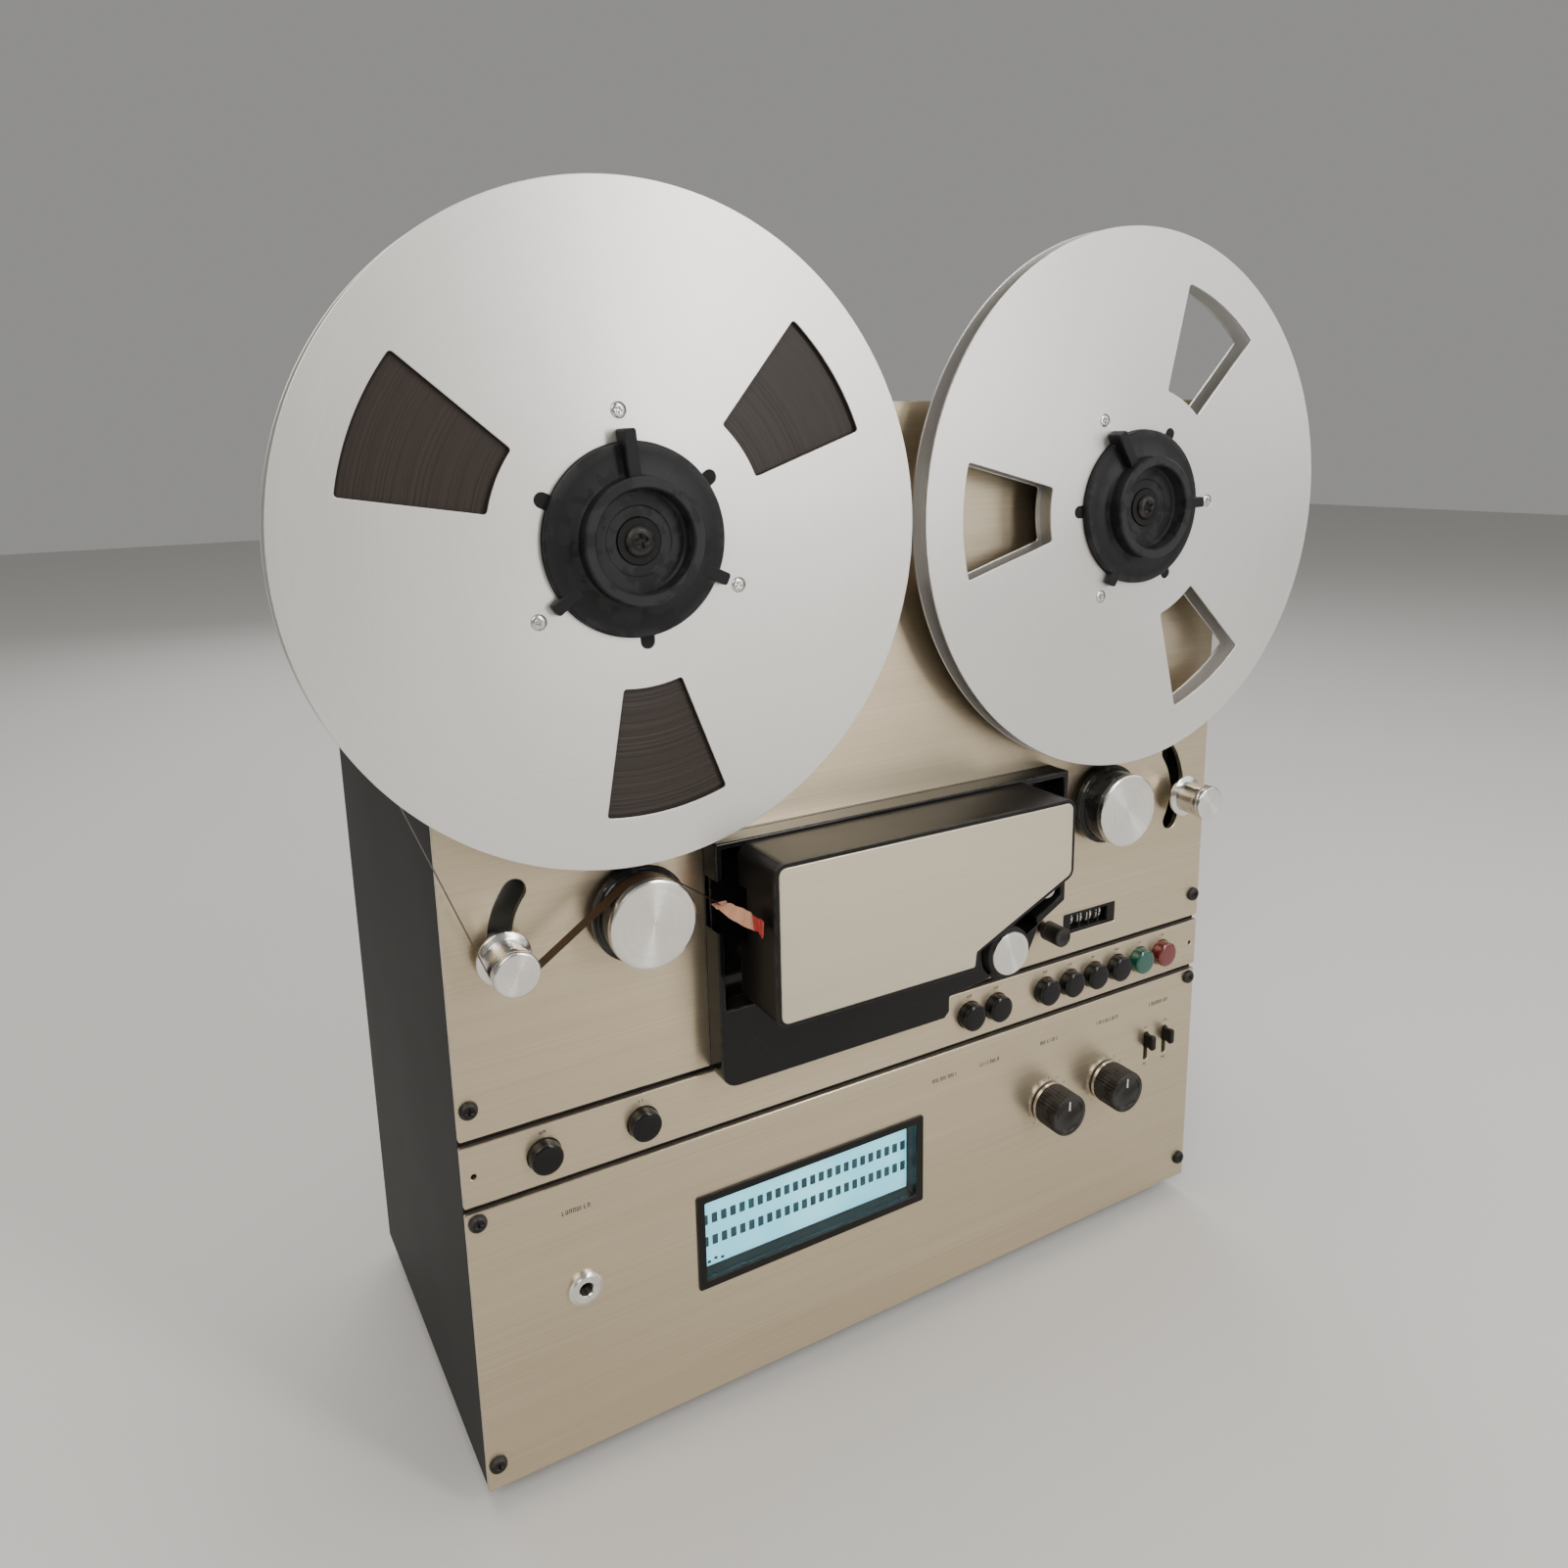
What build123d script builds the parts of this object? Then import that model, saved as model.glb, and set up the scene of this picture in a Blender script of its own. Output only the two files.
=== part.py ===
from build123d import *
import math
import os

# Upright reel to reel tape deck with two large metal reels, in millimetres.
# X runs to the right, Y from the front to the back and Z up from the soles of the feet.
# The origin lies on the ground under the middle of the whole deck, reels included.

# Cabinet
cabinet_width = 440.0
cabinet_height = 471.0
overall_depth = 256.0
wall_t = 2.0
foot_height = 12.0
foot_radius = 15.0
foot_inset = 40.0
foot_end_share = 0.14
foot_chamfer = 2.0
bumper_height = 6.0
bumper_radius = 9.0
bumper_inset = 26.0
bumper_chamfer = 1.5

# Front
panel_t = 3.0
frame_depth = 12.0
rail_width = 13.0
chassis_t = 3.0
groove_width = 3.0
panel_chamfer = 0.6
frame_screw_depth = 8.0
shaft_hole_room = 2.0
cover_proud = 47.5
upper_groove_drop = 246.2
lower_groove_drop = 277.4

# Reels
reel_diameter = 266.7
reel_inset = 83.0
reel_axis_drop = 53.0
flange_t = 1.0
flange_gap = 9.0
flange_chamfer = 0.2
reel_standoff = 8.2
hub_radius = 57.15
reel_bore_radius = 38.1
notch_reach = 43.5
notch_width = 6.0
window_inner_radius = 59.0
window_outer_radius = 112.0
window_inner_half_angle = 12.5
window_outer_half_angle = 14.0
window_corner = 3.0
reel_screw_radius = 49.7
reel_screw_head_radius = 3.1
reel_screw_shank_radius = 1.55
reel_screw_grip = 4.0
reel_screw_cross = 2.0
reel_screw_cross_half = 0.35
reel_screw_cross_depth = 0.5
bar_start = 30.0
pack_radius = 124.5
supply_turn = 35.0
takeup_turn = 61.0
tape_width = 6.35
tape_t = 0.2
leader_angle = 53.7
leader_t = 0.35
leader_edge_room = 3.6
leader_reach = (3.0, 16.0, 30.0)

# Turntables and hub locks
turntable_radius = 50.0
turntable_t = 3.0
turntable_chamfer = 0.5
key_start = 20.0
key_slack = 0.4
key_setback = 0.2
reel_shaft_radius = 5.0
shaft_collar_radius = 10.0
spigot_radius = 9.0
lock_floor_t = 4.0
lock_collar_radius = 25.0
lock_cup_radius = 20.5
lock_collar_reach = 7.5
lock_tab_reach = 43.0
lock_tab_width = 5.4
lock_rib_height = 4.5
lock_rib_start = 22.0
lock_chamfer = 0.8
lock_tab_setback = 0.6
lock_collar_chamfer = 0.6
hub_screw_head_radius = 6.0
hub_screw_head_t = 2.0
hub_screw_shank_radius = 2.5
hub_screw_grip = 8.0
hub_screw_slot = 4.0

# Tape path
guide_drop = 159.7
guide_radius = 19.5
guide_cap_radius = 19.7
guide_flange_radius = 21.7
guide_post_radius = 5.0
guide_lift = 3.2
guide_flange_t = 4.0
guide_cap_back = 4.0
guide_cap_front = 7.5
guide_post_depth = 4.0
roller_round = 0.8
arm_pivot_inset = 60.0
arm_pivot_drop = 163.0
arm_length = 37.0
arm_rest_angle = -4.0
arm_slot_top = 38.0
arm_slot_bottom = -29.0
arm_slot_width = 10.0
arm_t = 3.0
arm_post_radius = 3.5
arm_pin_radius = 4.0
arm_hub_radius = 8.0
arm_hub_setback = 1.0
arm_pin_setback = 2.0
arm_back_room = 4.5
arm_half_width = 4.0
arm_end_radius = 5.0
tension_radius = 8.75
tension_cap_radius = 9.5
tension_disc_radius = 11.5
tension_disc_t = 2.0
tension_disc_lift = 5.2
tension_disc_chamfer = 0.4
tension_front = 10.5
tension_waist_room = 1.1
axle_depth = 3.0
roller_axle_radius = 3.0

# Head housing and cover
housing_proud = 14.2
housing_floor_t = 2.0
housing_wall_t = 3.0
housing_left = -104.5
housing_right = 100.0
housing_top_drop = 133.0
housing_bottom_drop = 250.0
cover_left = -92.2
cover_right = 72.0
cover_top_drop = 136.0
cover_bottom_drop = 207.0
cover_chamfer = (58.2, 26.5)
cover_step_rise = 7.7
cover_step_run = 0.8
cover_rim = 1.5
cover_wall_t = 2.0
cover_plate_t = 1.5
cover_plate_chamfer = 0.4
cover_sleeve_t = 2.5
cover_slot_drop = 165.0
cover_corner = 4.0
cover_post_radius = 3.0
cover_post_length = 36.0
cover_post_inset = 13.0
capstan_x = 62.0
capstan_drop = 193.5
capstan_radius = 4.0
capstan_motor_radius = 38.0
capstan_motor_length = 50.0
capstan_motor_round = 4.0
capstan_reach = 6.0
flywheel_radius = 46.0
flywheel_t = 12.0
flywheel_chamfer = 1.0
pinch_x = 59.5
pinch_drop = 222.5
pinch_radius = 13.5
pinch_cap_radius = 11.6
pinch_pivot_x = 28.0
pinch_pivot_drop = 198.0
pinch_swing = 19.0
pinch_room = 1.5
pinch_post_radius = 3.0
pinch_post_length = 8.0
pinch_axle_radius = 2.5
pinch_arm_t = 3.0
pinch_arm_half = 4.0
pinch_hub_radius = 7.0
pinch_end_radius = 5.0
pinch_round = 0.6
head_x = (-60.0, -30.0, 0.0)
head_size = (15.0, 13.0, 13.0)
head_line_drop = 190.0
guide_pin_x = (-84.0, 84.0)
guide_pin_drop = 193.0
guide_pin_radius = 3.0
guide_pin_flange_radius = 5.0
guide_pin_flange_steps = (0.2, 1.5)
head_base_t = 4.0
head_base_reach = 16.0
head_base_heights = (4.0, 34.0)
head_round = 4.0
head_clamp_inset = 2.0
head_clamp_height = 6.0
housing_sill_drop = 212.0
housing_corner = 8.0
housing_steps = ((21.0, 0.0), (24.0, 3.0), (24.0, 11.0), (50.0, 14.5), (52.0, 23.0), (70.0, 30.0))
housing_right_rise = 46.0
tape_slot_drop = 160.0
tape_slot_low = 14.0
tape_slot_high = 10.0
cavity_steps = ((8.0, 0.0), (19.0, 9.0), (40.0, 4.5))

# Controls
button_radius = 7.25
button_proud = 6.0
button_drop = 261.8
button_flange_radius = 8.4
button_depth = 2.0
button_round = 1.2
button_places = {
    "power_button": -184.4, "timer_button": -138.3, "speed_button": 48.3, "bias_button": 66.4,
    "rewind_button": 101.0, "stop_button": 119.0, "pause_button": 137.0, "forward_button": 155.0,
    "play_button": 173.0, "record_button": 191.0,
}
counter_window = (38.5, 11.7)
counter_x = 132.5
counter_drop = 227.0
counter_wheel_radius = 5.5
counter_wheel_room = 0.9
counter_wheel_t = 7.0
counter_wheel_count = 4
counter_axle_radius = 1.5
counter_rim = 0.2
counter_frame_edge = 2.0
reset_x = 97.7
reset_drop = 224.3
reset_radius = 5.3
reset_proud = 16.7
reset_lift = 4.0
reset_round = 0.8
knob_radius = 12.0
knob_length = 17.0
knob_shaft_radius = 3.0
knob_hole_radius = 4.0
knob_lift = 0.8
knob_shaft_depth = 5.0
knob_round = 1.0
knob_mark_depth = 0.6
pot_half = 9.0
knob_drop = 331.0
knob_places = {"input_level_knob": 105.7, "output_level_knob": 149.7}
lever_places = {"input_lever": 182.2, "output_lever": 197.4}
lever_drop = 311.0
lever_length = 9.0
lever_width = 3.0
lever_travel = 8.0
lever_proud = 6.5
lever_depth = 3.0
lever_round = 1.5
lever_body_half = 5.0
lever_body_end = 3.0
meter_left = -113.9
meter_right = 18.0
meter_top_drop = 310.0
meter_height = 50.0
meter_rim = 3.0
meter_proud = 1.0
meter_wall_t = 1.0
meter_depth = 6.0
meter_glass = (0.5, 2.0)
jack_x = -170.0
jack_drop = 334.0
jack_bore_radius = 3.2
jack_bore_length = 13.0
jack_hole_radius = 6.0
jack_nut_radius = 8.0
jack_proud = 2.0
jack_body_half = 8.0
screw_edge = 5.0
screw_end = 13.0
strip_screw_drop = 230.8
lower_screw_drop = 283.6
screw_head_radius = 4.0
screw_head_t = 2.5
screw_shank_radius = 1.5
screw_grip = 6.0
screw_slot_depth = 0.8
screw_slot_half = 0.5
strip_hole_radius = 1.2

# Motors, power supply and rear
reel_motor_radius = 48.0
reel_motor_length = 60.0
reel_motor_round = 6.0
reel_shaft_reach = 48.0
rear_t = 2.0
rear_screw_inset = 6.0
rear_screw_end = 8.0
rear_screw_grip = 4.0
vent_length = 70.0
vent_width = 5.0
vent_pitch = 12.0
vent_count = 8
vent_drop = 40.0
jack_panel_size = (170.0, 56.0)
jack_panel_x = -90.0
jack_panel_z = 70.0
jack_panel_t = 1.5
jack_panel_edge = 6.0
rca_radius = 4.15
rca_length = 7.5
rca_pitch = 20.0
rca_offset = 35.0
rca_bore_radius = 1.6
rca_nut_radius = 6.0
rca_nut_t = 1.5
inlet_x = (-60.0, -30.0)
inlet_half = 11.0
inlet_wall = 4.0
inlet_proud = 5.0
inlet_pin_x = (-51.0, -39.0)
inlet_pin_radius = 1.6
transformer_x = (-170.0, -80.0)
transformer_y = (10.0, 80.0)
transformer_height = 72.0
bracket_t = 2.0
bracket_reach = 10.0
coil_t = 8.0
coil_inset = 15.0
coil_heights = (14.0, 62.0)
board_x = (-50.0, 190.0)
board_y = (-40.0, 100.0)
board_lift = 10.0
board_t = 1.6
board_pillar_radius = 4.0
board_pillar_inset = 8.0
can_radius = 11.0
can_height = 40.0
can_places = ((0, -10), (30, -10), (0, 25), (30, 25))
sink_x = (80.0, 170.0)
sink_y = (60.0, 68.0)
sink_height = 46.0

# Clearances
running_gap = 0.05
sliding_gap = 0.1
free_gap = 0.3

# Levels worked out from the sizes above
panel_face_y = cover_proud - overall_depth / 2
panel_back_y = panel_face_y + panel_t
chassis_front_y = panel_back_y + frame_depth
chassis_back_y = chassis_front_y + chassis_t
cabinet_back_y = overall_depth / 2 - bumper_height
side_x = cabinet_width / 2
top_z = foot_height + cabinet_height
inner_x = side_x - wall_t
inner_bottom = foot_height + wall_t
inner_top = top_z - wall_t
reel_x = side_x - reel_inset
axis_z = top_z - reel_axis_drop
reel_back_y = panel_face_y - reel_standoff
reel_front_y = reel_back_y - 2 * flange_t - flange_gap
tape_y = reel_back_y - flange_t - flange_gap / 2
upper_groove_z = axis_z - upper_groove_drop
lower_groove_z = axis_z - lower_groove_drop
housing_front_y = panel_face_y - housing_proud
housing_floor_y = panel_face_y - housing_floor_t
guide_z = axis_z - guide_drop
arm_pivot_x = side_x - arm_pivot_inset
arm_pivot_z = axis_z - arm_pivot_drop
button_z = axis_z - button_drop
knob_z = axis_z - knob_drop
counter_z = axis_z - counter_drop
reset_z = axis_z - reset_drop
capstan_z = axis_z - capstan_drop
pinch_z = axis_z - pinch_drop
pinch_pivot_z = axis_z - pinch_pivot_drop
jack_z = axis_z - jack_drop


def rod(radius, front, back, x=0.0, z=0.0):
    """Round bar along Y."""
    return Pos(x, (front + back) / 2, z) * Rot(90, 0, 0) * Cylinder(radius, back - front)


def ring(outer, inner, front, back, x=0.0, z=0.0):
    """Round tube along Y."""
    return rod(outer, front, back, x, z) - rod(inner, front - 1, back + 1, x, z)


def block(x0, x1, y0, y1, z0, z1):
    """Box between two corners."""
    return Pos((x0 + x1) / 2, (y0 + y1) / 2, (z0 + z1) / 2) * Box(x1 - x0, y1 - y0, z1 - z0)


def slab(face, front, back):
    """Face drawn in X and Z, made solid from front to back."""
    return Pos(0, back, 0) * extrude(Plane.XZ * face, amount=back - front)


def outline(points, corner=0.0):
    """Face from a list of (x, z) points, with its corners rounded."""
    face = make_face(Polyline(*points, close=True))
    return fillet(face.vertices(), corner) if corner else face


def polar(radius, degrees, x=0.0, z=0.0):
    """Point at a radius and an angle, anticlockwise as seen from the front."""
    turn = math.radians(degrees)
    return x + radius * math.cos(turn), z + radius * math.sin(turn)


def radial_bar(inner, outer, width, front, back, x, z, degrees):
    """Bar that points outwards from the axis at x and z, with a round outer end."""
    bar = block(inner, outer - width / 2, front, back, -width / 2, width / 2)
    bar += rod(width / 2, front, back, outer - width / 2, 0)
    return Pos(x, 0, z) * Rot(0, -degrees, 0) * bar


def window_face(x, z, degrees):
    """One reel window: two arcs about the reel axis joined by nearly radial sides."""
    inner = [polar(window_inner_radius, degrees + a, x, z)
             for a in (-window_inner_half_angle, 0, window_inner_half_angle)]
    outer = [polar(window_outer_radius, degrees + a, x, z)
             for a in (-window_outer_half_angle, 0, window_outer_half_angle)]
    edges = [ThreePointArc(*inner), Line(inner[2], outer[2]), ThreePointArc(*outer[::-1]),
             Line(outer[0], inner[0])]
    face = make_face(edges)
    return fillet(face.vertices(), window_corner)


def reel_angles(turn):
    return [turn + 120 * i for i in range(3)]


def screw_angles(turn):
    return [turn + 60 + 120 * i for i in range(3)]


def round_screw(x, z, front, shank_length):
    """Round-headed screw driven along +Y, its head in front of the face at front."""
    head = rod(screw_head_radius, front - screw_head_t, front, x, z)
    head = fillet(head.edges().filter_by(GeomType.CIRCLE).group_by(Axis.Y)[0], screw_head_t / 2)
    head -= block(x - screw_head_radius, x + screw_head_radius, front - screw_head_t - 1,
                  front - screw_head_t + screw_slot_depth, z - screw_slot_half, z + screw_slot_half)
    return head + rod(screw_shank_radius, front, front + shank_length, x, z)


def save(name, *shapes):
    """Write one node as a group of separate solids."""
    solids = [solid for shape in shapes for solid in shape.solids()]
    node = solids[0] if len(solids) == 1 else Compound(children=solids)
    export_step(node, f"parts/{name}.step")


# Places of the screws that hold the three front panels
def panel_screw_places():
    x = side_x - screw_edge
    heights = (top_z - screw_end, axis_z - strip_screw_drop, axis_z - lower_screw_drop, foot_height + screw_end)
    return [(s * x, z) for z in heights for s in (-1, 1)]


# Sheet-metal and cast parts of the cabinet
def make_cabinet():
    shell = block(-side_x, side_x, panel_back_y, cabinet_back_y, foot_height, top_z)
    shell -= block(-inner_x, inner_x, panel_back_y - 1, cabinet_back_y + 1, inner_bottom, inner_top)
    save("cabinet_wrap", shell)

    frame = block(-inner_x, inner_x, panel_back_y, chassis_front_y, inner_bottom, inner_top)
    field = (inner_bottom + rail_width, lower_groove_z - rail_width / 2,
             lower_groove_z + rail_width / 2, upper_groove_z - rail_width / 2,
             upper_groove_z + rail_width / 2, inner_top - rail_width)
    for low, high in zip(field[::2], field[1::2]):
        frame -= block(-inner_x + rail_width, inner_x - rail_width, panel_back_y - 1,
                       chassis_front_y + 1, low, high)
    for x, z in panel_screw_places():
        frame -= rod(screw_shank_radius + sliding_gap, panel_back_y - 1, panel_back_y + frame_screw_depth, x, z)
    save("front_frame", frame)

    chassis = block(-inner_x, inner_x, chassis_front_y, chassis_back_y, inner_bottom, inner_top)
    for s in (-1, 1):
        chassis -= rod(shaft_collar_radius + shaft_hole_room, chassis_front_y - 1, chassis_back_y + 1,
                       s * reel_x, axis_z)
    chassis -= rod(capstan_radius + shaft_hole_room, chassis_front_y - 1, chassis_back_y + 1,
                   capstan_x, capstan_z)
    save("chassis_plate", chassis)

    rear = block(-inner_x, inner_x, cabinet_back_y - rear_t, cabinet_back_y, inner_bottom, inner_top)
    opening = [size / 2 - jack_panel_edge for size in jack_panel_size]
    rear -= block(jack_panel_x - opening[0], jack_panel_x + opening[0], cabinet_back_y - rear_t - 1,
                  cabinet_back_y + 1, jack_panel_z - opening[1], jack_panel_z + opening[1])
    for s in (-1, 1):
        for row in range(vent_count):
            z = axis_z - vent_drop - row * vent_pitch
            slot = Pos(s * reel_x, z) * SlotOverall(vent_length, vent_width)
            rear -= slab(slot, cabinet_back_y - rear_t - 1, cabinet_back_y + 1)
    for x, z in rear_screw_places():
        rear -= rod(screw_shank_radius + sliding_gap, cabinet_back_y - rear_t - 1, cabinet_back_y + 1, x, z)
    save("rear_cover", rear)


def rear_screw_places():
    x = inner_x - rear_screw_inset
    heights = (inner_bottom + rear_screw_end, (inner_bottom + inner_top) / 2, inner_top - rear_screw_end)
    return [(s * x, z) for z in heights for s in (-1, 1)]


def make_feet():
    feet = []
    depth = cabinet_back_y - panel_back_y
    for s in (-1, 1):
        for y in (panel_back_y + foot_end_share * depth, cabinet_back_y - foot_end_share * depth):
            foot = Pos(s * (side_x - foot_inset), y, foot_height / 2) * Cylinder(foot_radius, foot_height)
            foot = chamfer(foot.edges().group_by(Axis.Z)[0], foot_chamfer)
            feet.append(foot)
        for z in (foot_height + bumper_inset, top_z - bumper_inset):
            bumper = rod(bumper_radius, cabinet_back_y, overall_depth / 2, s * (side_x - bumper_inset), z)
            bumper = chamfer(bumper.edges().group_by(Axis.Y)[-1], bumper_chamfer)
            feet.append(bumper)
    save("cabinet_feet", *feet)


def make_panel_screws():
    screws = [round_screw(x, z, panel_face_y, panel_t + screw_grip) for x, z in panel_screw_places()]
    for x, z in rear_screw_places():
        screw = round_screw(-x, z, 0, rear_t + rear_screw_grip)
        screws.append(Pos(0, cabinet_back_y, 0) * Rot(0, 0, 180) * screw)
    save("panel_screws", *screws)


# Front panels
def arm_slot_face(s):
    """Curved slot that the post of a tension arm runs in, on the left (-1) or right (1)."""
    half = arm_slot_width / 2

    def place(radius, degrees):
        x, z = polar(radius, degrees)
        return s * (arm_pivot_x + x), arm_pivot_z + z

    middle = (arm_slot_top + arm_slot_bottom) / 2
    outer = [place(arm_length + half, a) for a in (arm_slot_bottom, middle, arm_slot_top)]
    inner = [place(arm_length - half, a) for a in (arm_slot_bottom, middle, arm_slot_top)]
    face = make_face([ThreePointArc(*outer), Line(outer[2], inner[2]), ThreePointArc(*inner[::-1]),
                      Line(inner[0], outer[0])])
    for angle in (arm_slot_bottom, arm_slot_top):
        face += Pos(*place(arm_length, angle)) * Circle(half)
    return face


def panel_plate(bottom, top):
    plate = block(-side_x, side_x, panel_face_y, panel_back_y, bottom, top)
    front = plate.faces().sort_by(Axis.Y)[0]
    plate = chamfer(front.edges(), panel_chamfer)
    for x, z in panel_screw_places():
        if bottom < z < top:
            plate -= rod(screw_shank_radius + sliding_gap, panel_face_y - 1, panel_back_y + 1, x, z)
    return plate


def make_panels():
    half = groove_width / 2
    upper = panel_plate(upper_groove_z + half, top_z)
    for s in (-1, 1):
        upper -= rod(shaft_collar_radius + shaft_hole_room, panel_face_y - 1, panel_back_y + 1,
                     s * reel_x, axis_z)
        upper -= rod(guide_post_radius, panel_face_y - 1, panel_back_y + 1, s * reel_x, guide_z)
        upper -= slab(arm_slot_face(s), panel_face_y - 1, panel_back_y + 1)
    upper -= rod(capstan_radius + shaft_hole_room, panel_face_y - 1, panel_back_y + 1, capstan_x, capstan_z)
    w, h = counter_window
    upper -= block(counter_x - w / 2, counter_x + w / 2, panel_face_y - 1, panel_back_y + 1,
                   counter_z - h / 2, counter_z + h / 2)
    upper -= rod(reset_radius / 2 + running_gap, panel_face_y - 1, panel_back_y + 1, reset_x, reset_z)
    save("transport_panel", upper)

    strip = panel_plate(lower_groove_z + half, upper_groove_z - half)
    for x in button_places.values():
        strip -= rod(button_radius + sliding_gap, panel_face_y - 1, panel_back_y + 1, x, button_z)
    for s in (-1, 1):
        strip -= rod(strip_hole_radius, panel_face_y - 1, panel_back_y + 1, s * (side_x - screw_edge), button_z)
    save("control_strip", strip)

    lower = panel_plate(foot_height, lower_groove_z - half)
    meter_top = axis_z - meter_top_drop
    lower -= block(meter_left + meter_rim, meter_right - meter_rim, panel_face_y - 1, panel_back_y + 1,
                   meter_top - meter_height + meter_rim, meter_top - meter_rim)
    for x in knob_places.values():
        lower -= rod(knob_hole_radius, panel_face_y - 1, panel_back_y + 1, x, knob_z)
    for x in lever_places.values():
        top = axis_z - lever_drop
        lower -= block(x - lever_width / 2 - sliding_gap, x + lever_width / 2 + sliding_gap,
                       panel_face_y - 1, panel_back_y + 1,
                       top - lever_length - lever_travel - free_gap, top + free_gap)
    lower -= rod(jack_hole_radius, panel_face_y - 1, panel_back_y + 1, jack_x, jack_z)
    save("lower_panel", lower)


# Reels, turntables and hub locks
def reel_flange(front, x, turn):
    flange = rod(reel_diameter / 2, front, front + flange_t, x, axis_z)
    flange = chamfer(flange.edges().filter_by(GeomType.CIRCLE), flange_chamfer)
    flange -= rod(reel_bore_radius, front - 1, front + flange_t + 1, x, axis_z)
    for angle in reel_angles(turn):
        flange -= slab(window_face(x, axis_z, angle), front - 1, front + flange_t + 1)
        flange -= radial_bar(bar_start, notch_reach, notch_width, front - 1, front + flange_t + 1,
                             x, axis_z, angle)
    for angle in screw_angles(turn):
        sx, sz = polar(reel_screw_radius, angle, x, axis_z)
        flange -= rod(reel_screw_head_radius + sliding_gap, front - 1, front + flange_t + 1, sx, sz)
    return flange


def make_reel(name, x, turn, with_pack):
    back_flange = reel_back_y - flange_t
    save(f"{name}_reel_flanges", reel_flange(reel_front_y, x, turn), reel_flange(back_flange, x, turn))

    front, back = reel_front_y + flange_t, back_flange
    hub = ring(hub_radius, reel_bore_radius, front, back, x, axis_z)
    for angle in reel_angles(turn):
        hub -= radial_bar(bar_start, notch_reach, notch_width, front - 1, back + 1, x, axis_z, angle)
    screws = []
    for angle in screw_angles(turn):
        sx, sz = polar(reel_screw_radius, angle, x, axis_z)
        hub -= rod(reel_screw_shank_radius + running_gap, front - 1, back + 1, sx, sz)
        for head, tip in ((reel_front_y, front + reel_screw_grip), (reel_back_y, back - reel_screw_grip)):
            into = 1 if tip > head else -1
            seat = head + into * flange_t
            screw = rod(reel_screw_head_radius, min(head, seat), max(head, seat), sx, sz)
            for half_x, half_z in ((reel_screw_cross, reel_screw_cross_half),
                                   (reel_screw_cross_half, reel_screw_cross)):
                screw -= block(sx - half_x, sx + half_x, head - reel_screw_cross_depth,
                               head + reel_screw_cross_depth, sz - half_z, sz + half_z)
            screws.append(screw + rod(reel_screw_shank_radius, min(seat, tip), max(seat, tip), sx, sz))
    save(f"{name}_reel_hub", hub)
    nose = lock_front(x)[1]
    hub_screw = rod(hub_screw_head_radius, nose - hub_screw_head_t, nose, x, axis_z)
    hub_screw += rod(hub_screw_shank_radius, nose, nose + hub_screw_grip, x, axis_z)
    hub_screw -= block(x - hub_screw_slot, x + hub_screw_slot, nose - hub_screw_head_t - 1,
                       nose - hub_screw_head_t + screw_slot_depth, axis_z - screw_slot_half,
                       axis_z + screw_slot_half)
    save(f"{name}_reel_screws", hub_screw, *screws)
    if with_pack:
        half = tape_width / 2
        pack = ring(pack_radius, hub_radius + running_gap, tape_y - half, tape_y + half, x, axis_z)
        save("supply_tape_pack", pack)


def lock_front(x):
    """Y of the lock ring's back, of the spigot's front and of the collar's front."""
    ring_back = reel_front_y - free_gap
    spigot_front = ring_back - lock_floor_t - running_gap
    return ring_back, spigot_front, ring_back - lock_floor_t - lock_collar_reach


def make_turntable(name, x, turn):
    ring_back, spigot_front, _ = lock_front(x)
    fit = reel_bore_radius - running_gap
    disc = rod(turntable_radius, reel_back_y, reel_back_y + turntable_t, x, axis_z)
    disc = chamfer(disc.edges().filter_by(GeomType.CIRCLE), turntable_chamfer)
    disc += rod(fit, reel_front_y, reel_back_y, x, axis_z)
    for angle in reel_angles(turn):
        disc += radial_bar(key_start, notch_reach - key_slack, notch_width - key_slack,
                           reel_front_y + key_setback, reel_back_y, x, axis_z, angle)
    disc += rod(spigot_radius, spigot_front, reel_front_y, x, axis_z)
    disc -= rod(hub_screw_shank_radius, spigot_front - 1, spigot_front + hub_screw_grip, x, axis_z)
    disc += rod(shaft_collar_radius, reel_back_y + turntable_t, panel_back_y, x, axis_z)
    disc += rod(reel_shaft_radius, panel_back_y, chassis_back_y + reel_shaft_reach, x, axis_z)
    save(f"{name}_turntable", disc)

    ring_front = ring_back - lock_floor_t
    lock = rod(fit, ring_front, ring_back, x, axis_z)
    lock = chamfer(lock.edges().filter_by(GeomType.CIRCLE).group_by(Axis.Y)[0], lock_chamfer)
    for angle in screw_angles(turn):
        lock += radial_bar(key_start, lock_tab_reach, lock_tab_width, ring_front + lock_tab_setback, ring_back,
                           x, axis_z, angle)
    lock += radial_bar(lock_rib_start, lock_tab_reach, lock_tab_width, ring_front - lock_rib_height, ring_back,
                       x, axis_z, screw_angles(turn)[0])
    collar = ring(lock_collar_radius, lock_cup_radius, ring_front - lock_collar_reach, ring_front, x, axis_z)
    collar = chamfer(collar.edges().filter_by(GeomType.CIRCLE).group_by(Axis.Y)[0], lock_collar_chamfer)
    lock += collar
    lock -= rod(lock_cup_radius, ring_front - lock_collar_reach - 1, ring_front, x, axis_z)
    lock -= rod(spigot_radius + running_gap, ring_front - 1, ring_back + 1, x, axis_z)
    save(f"{name}_hub_lock", lock)


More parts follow.
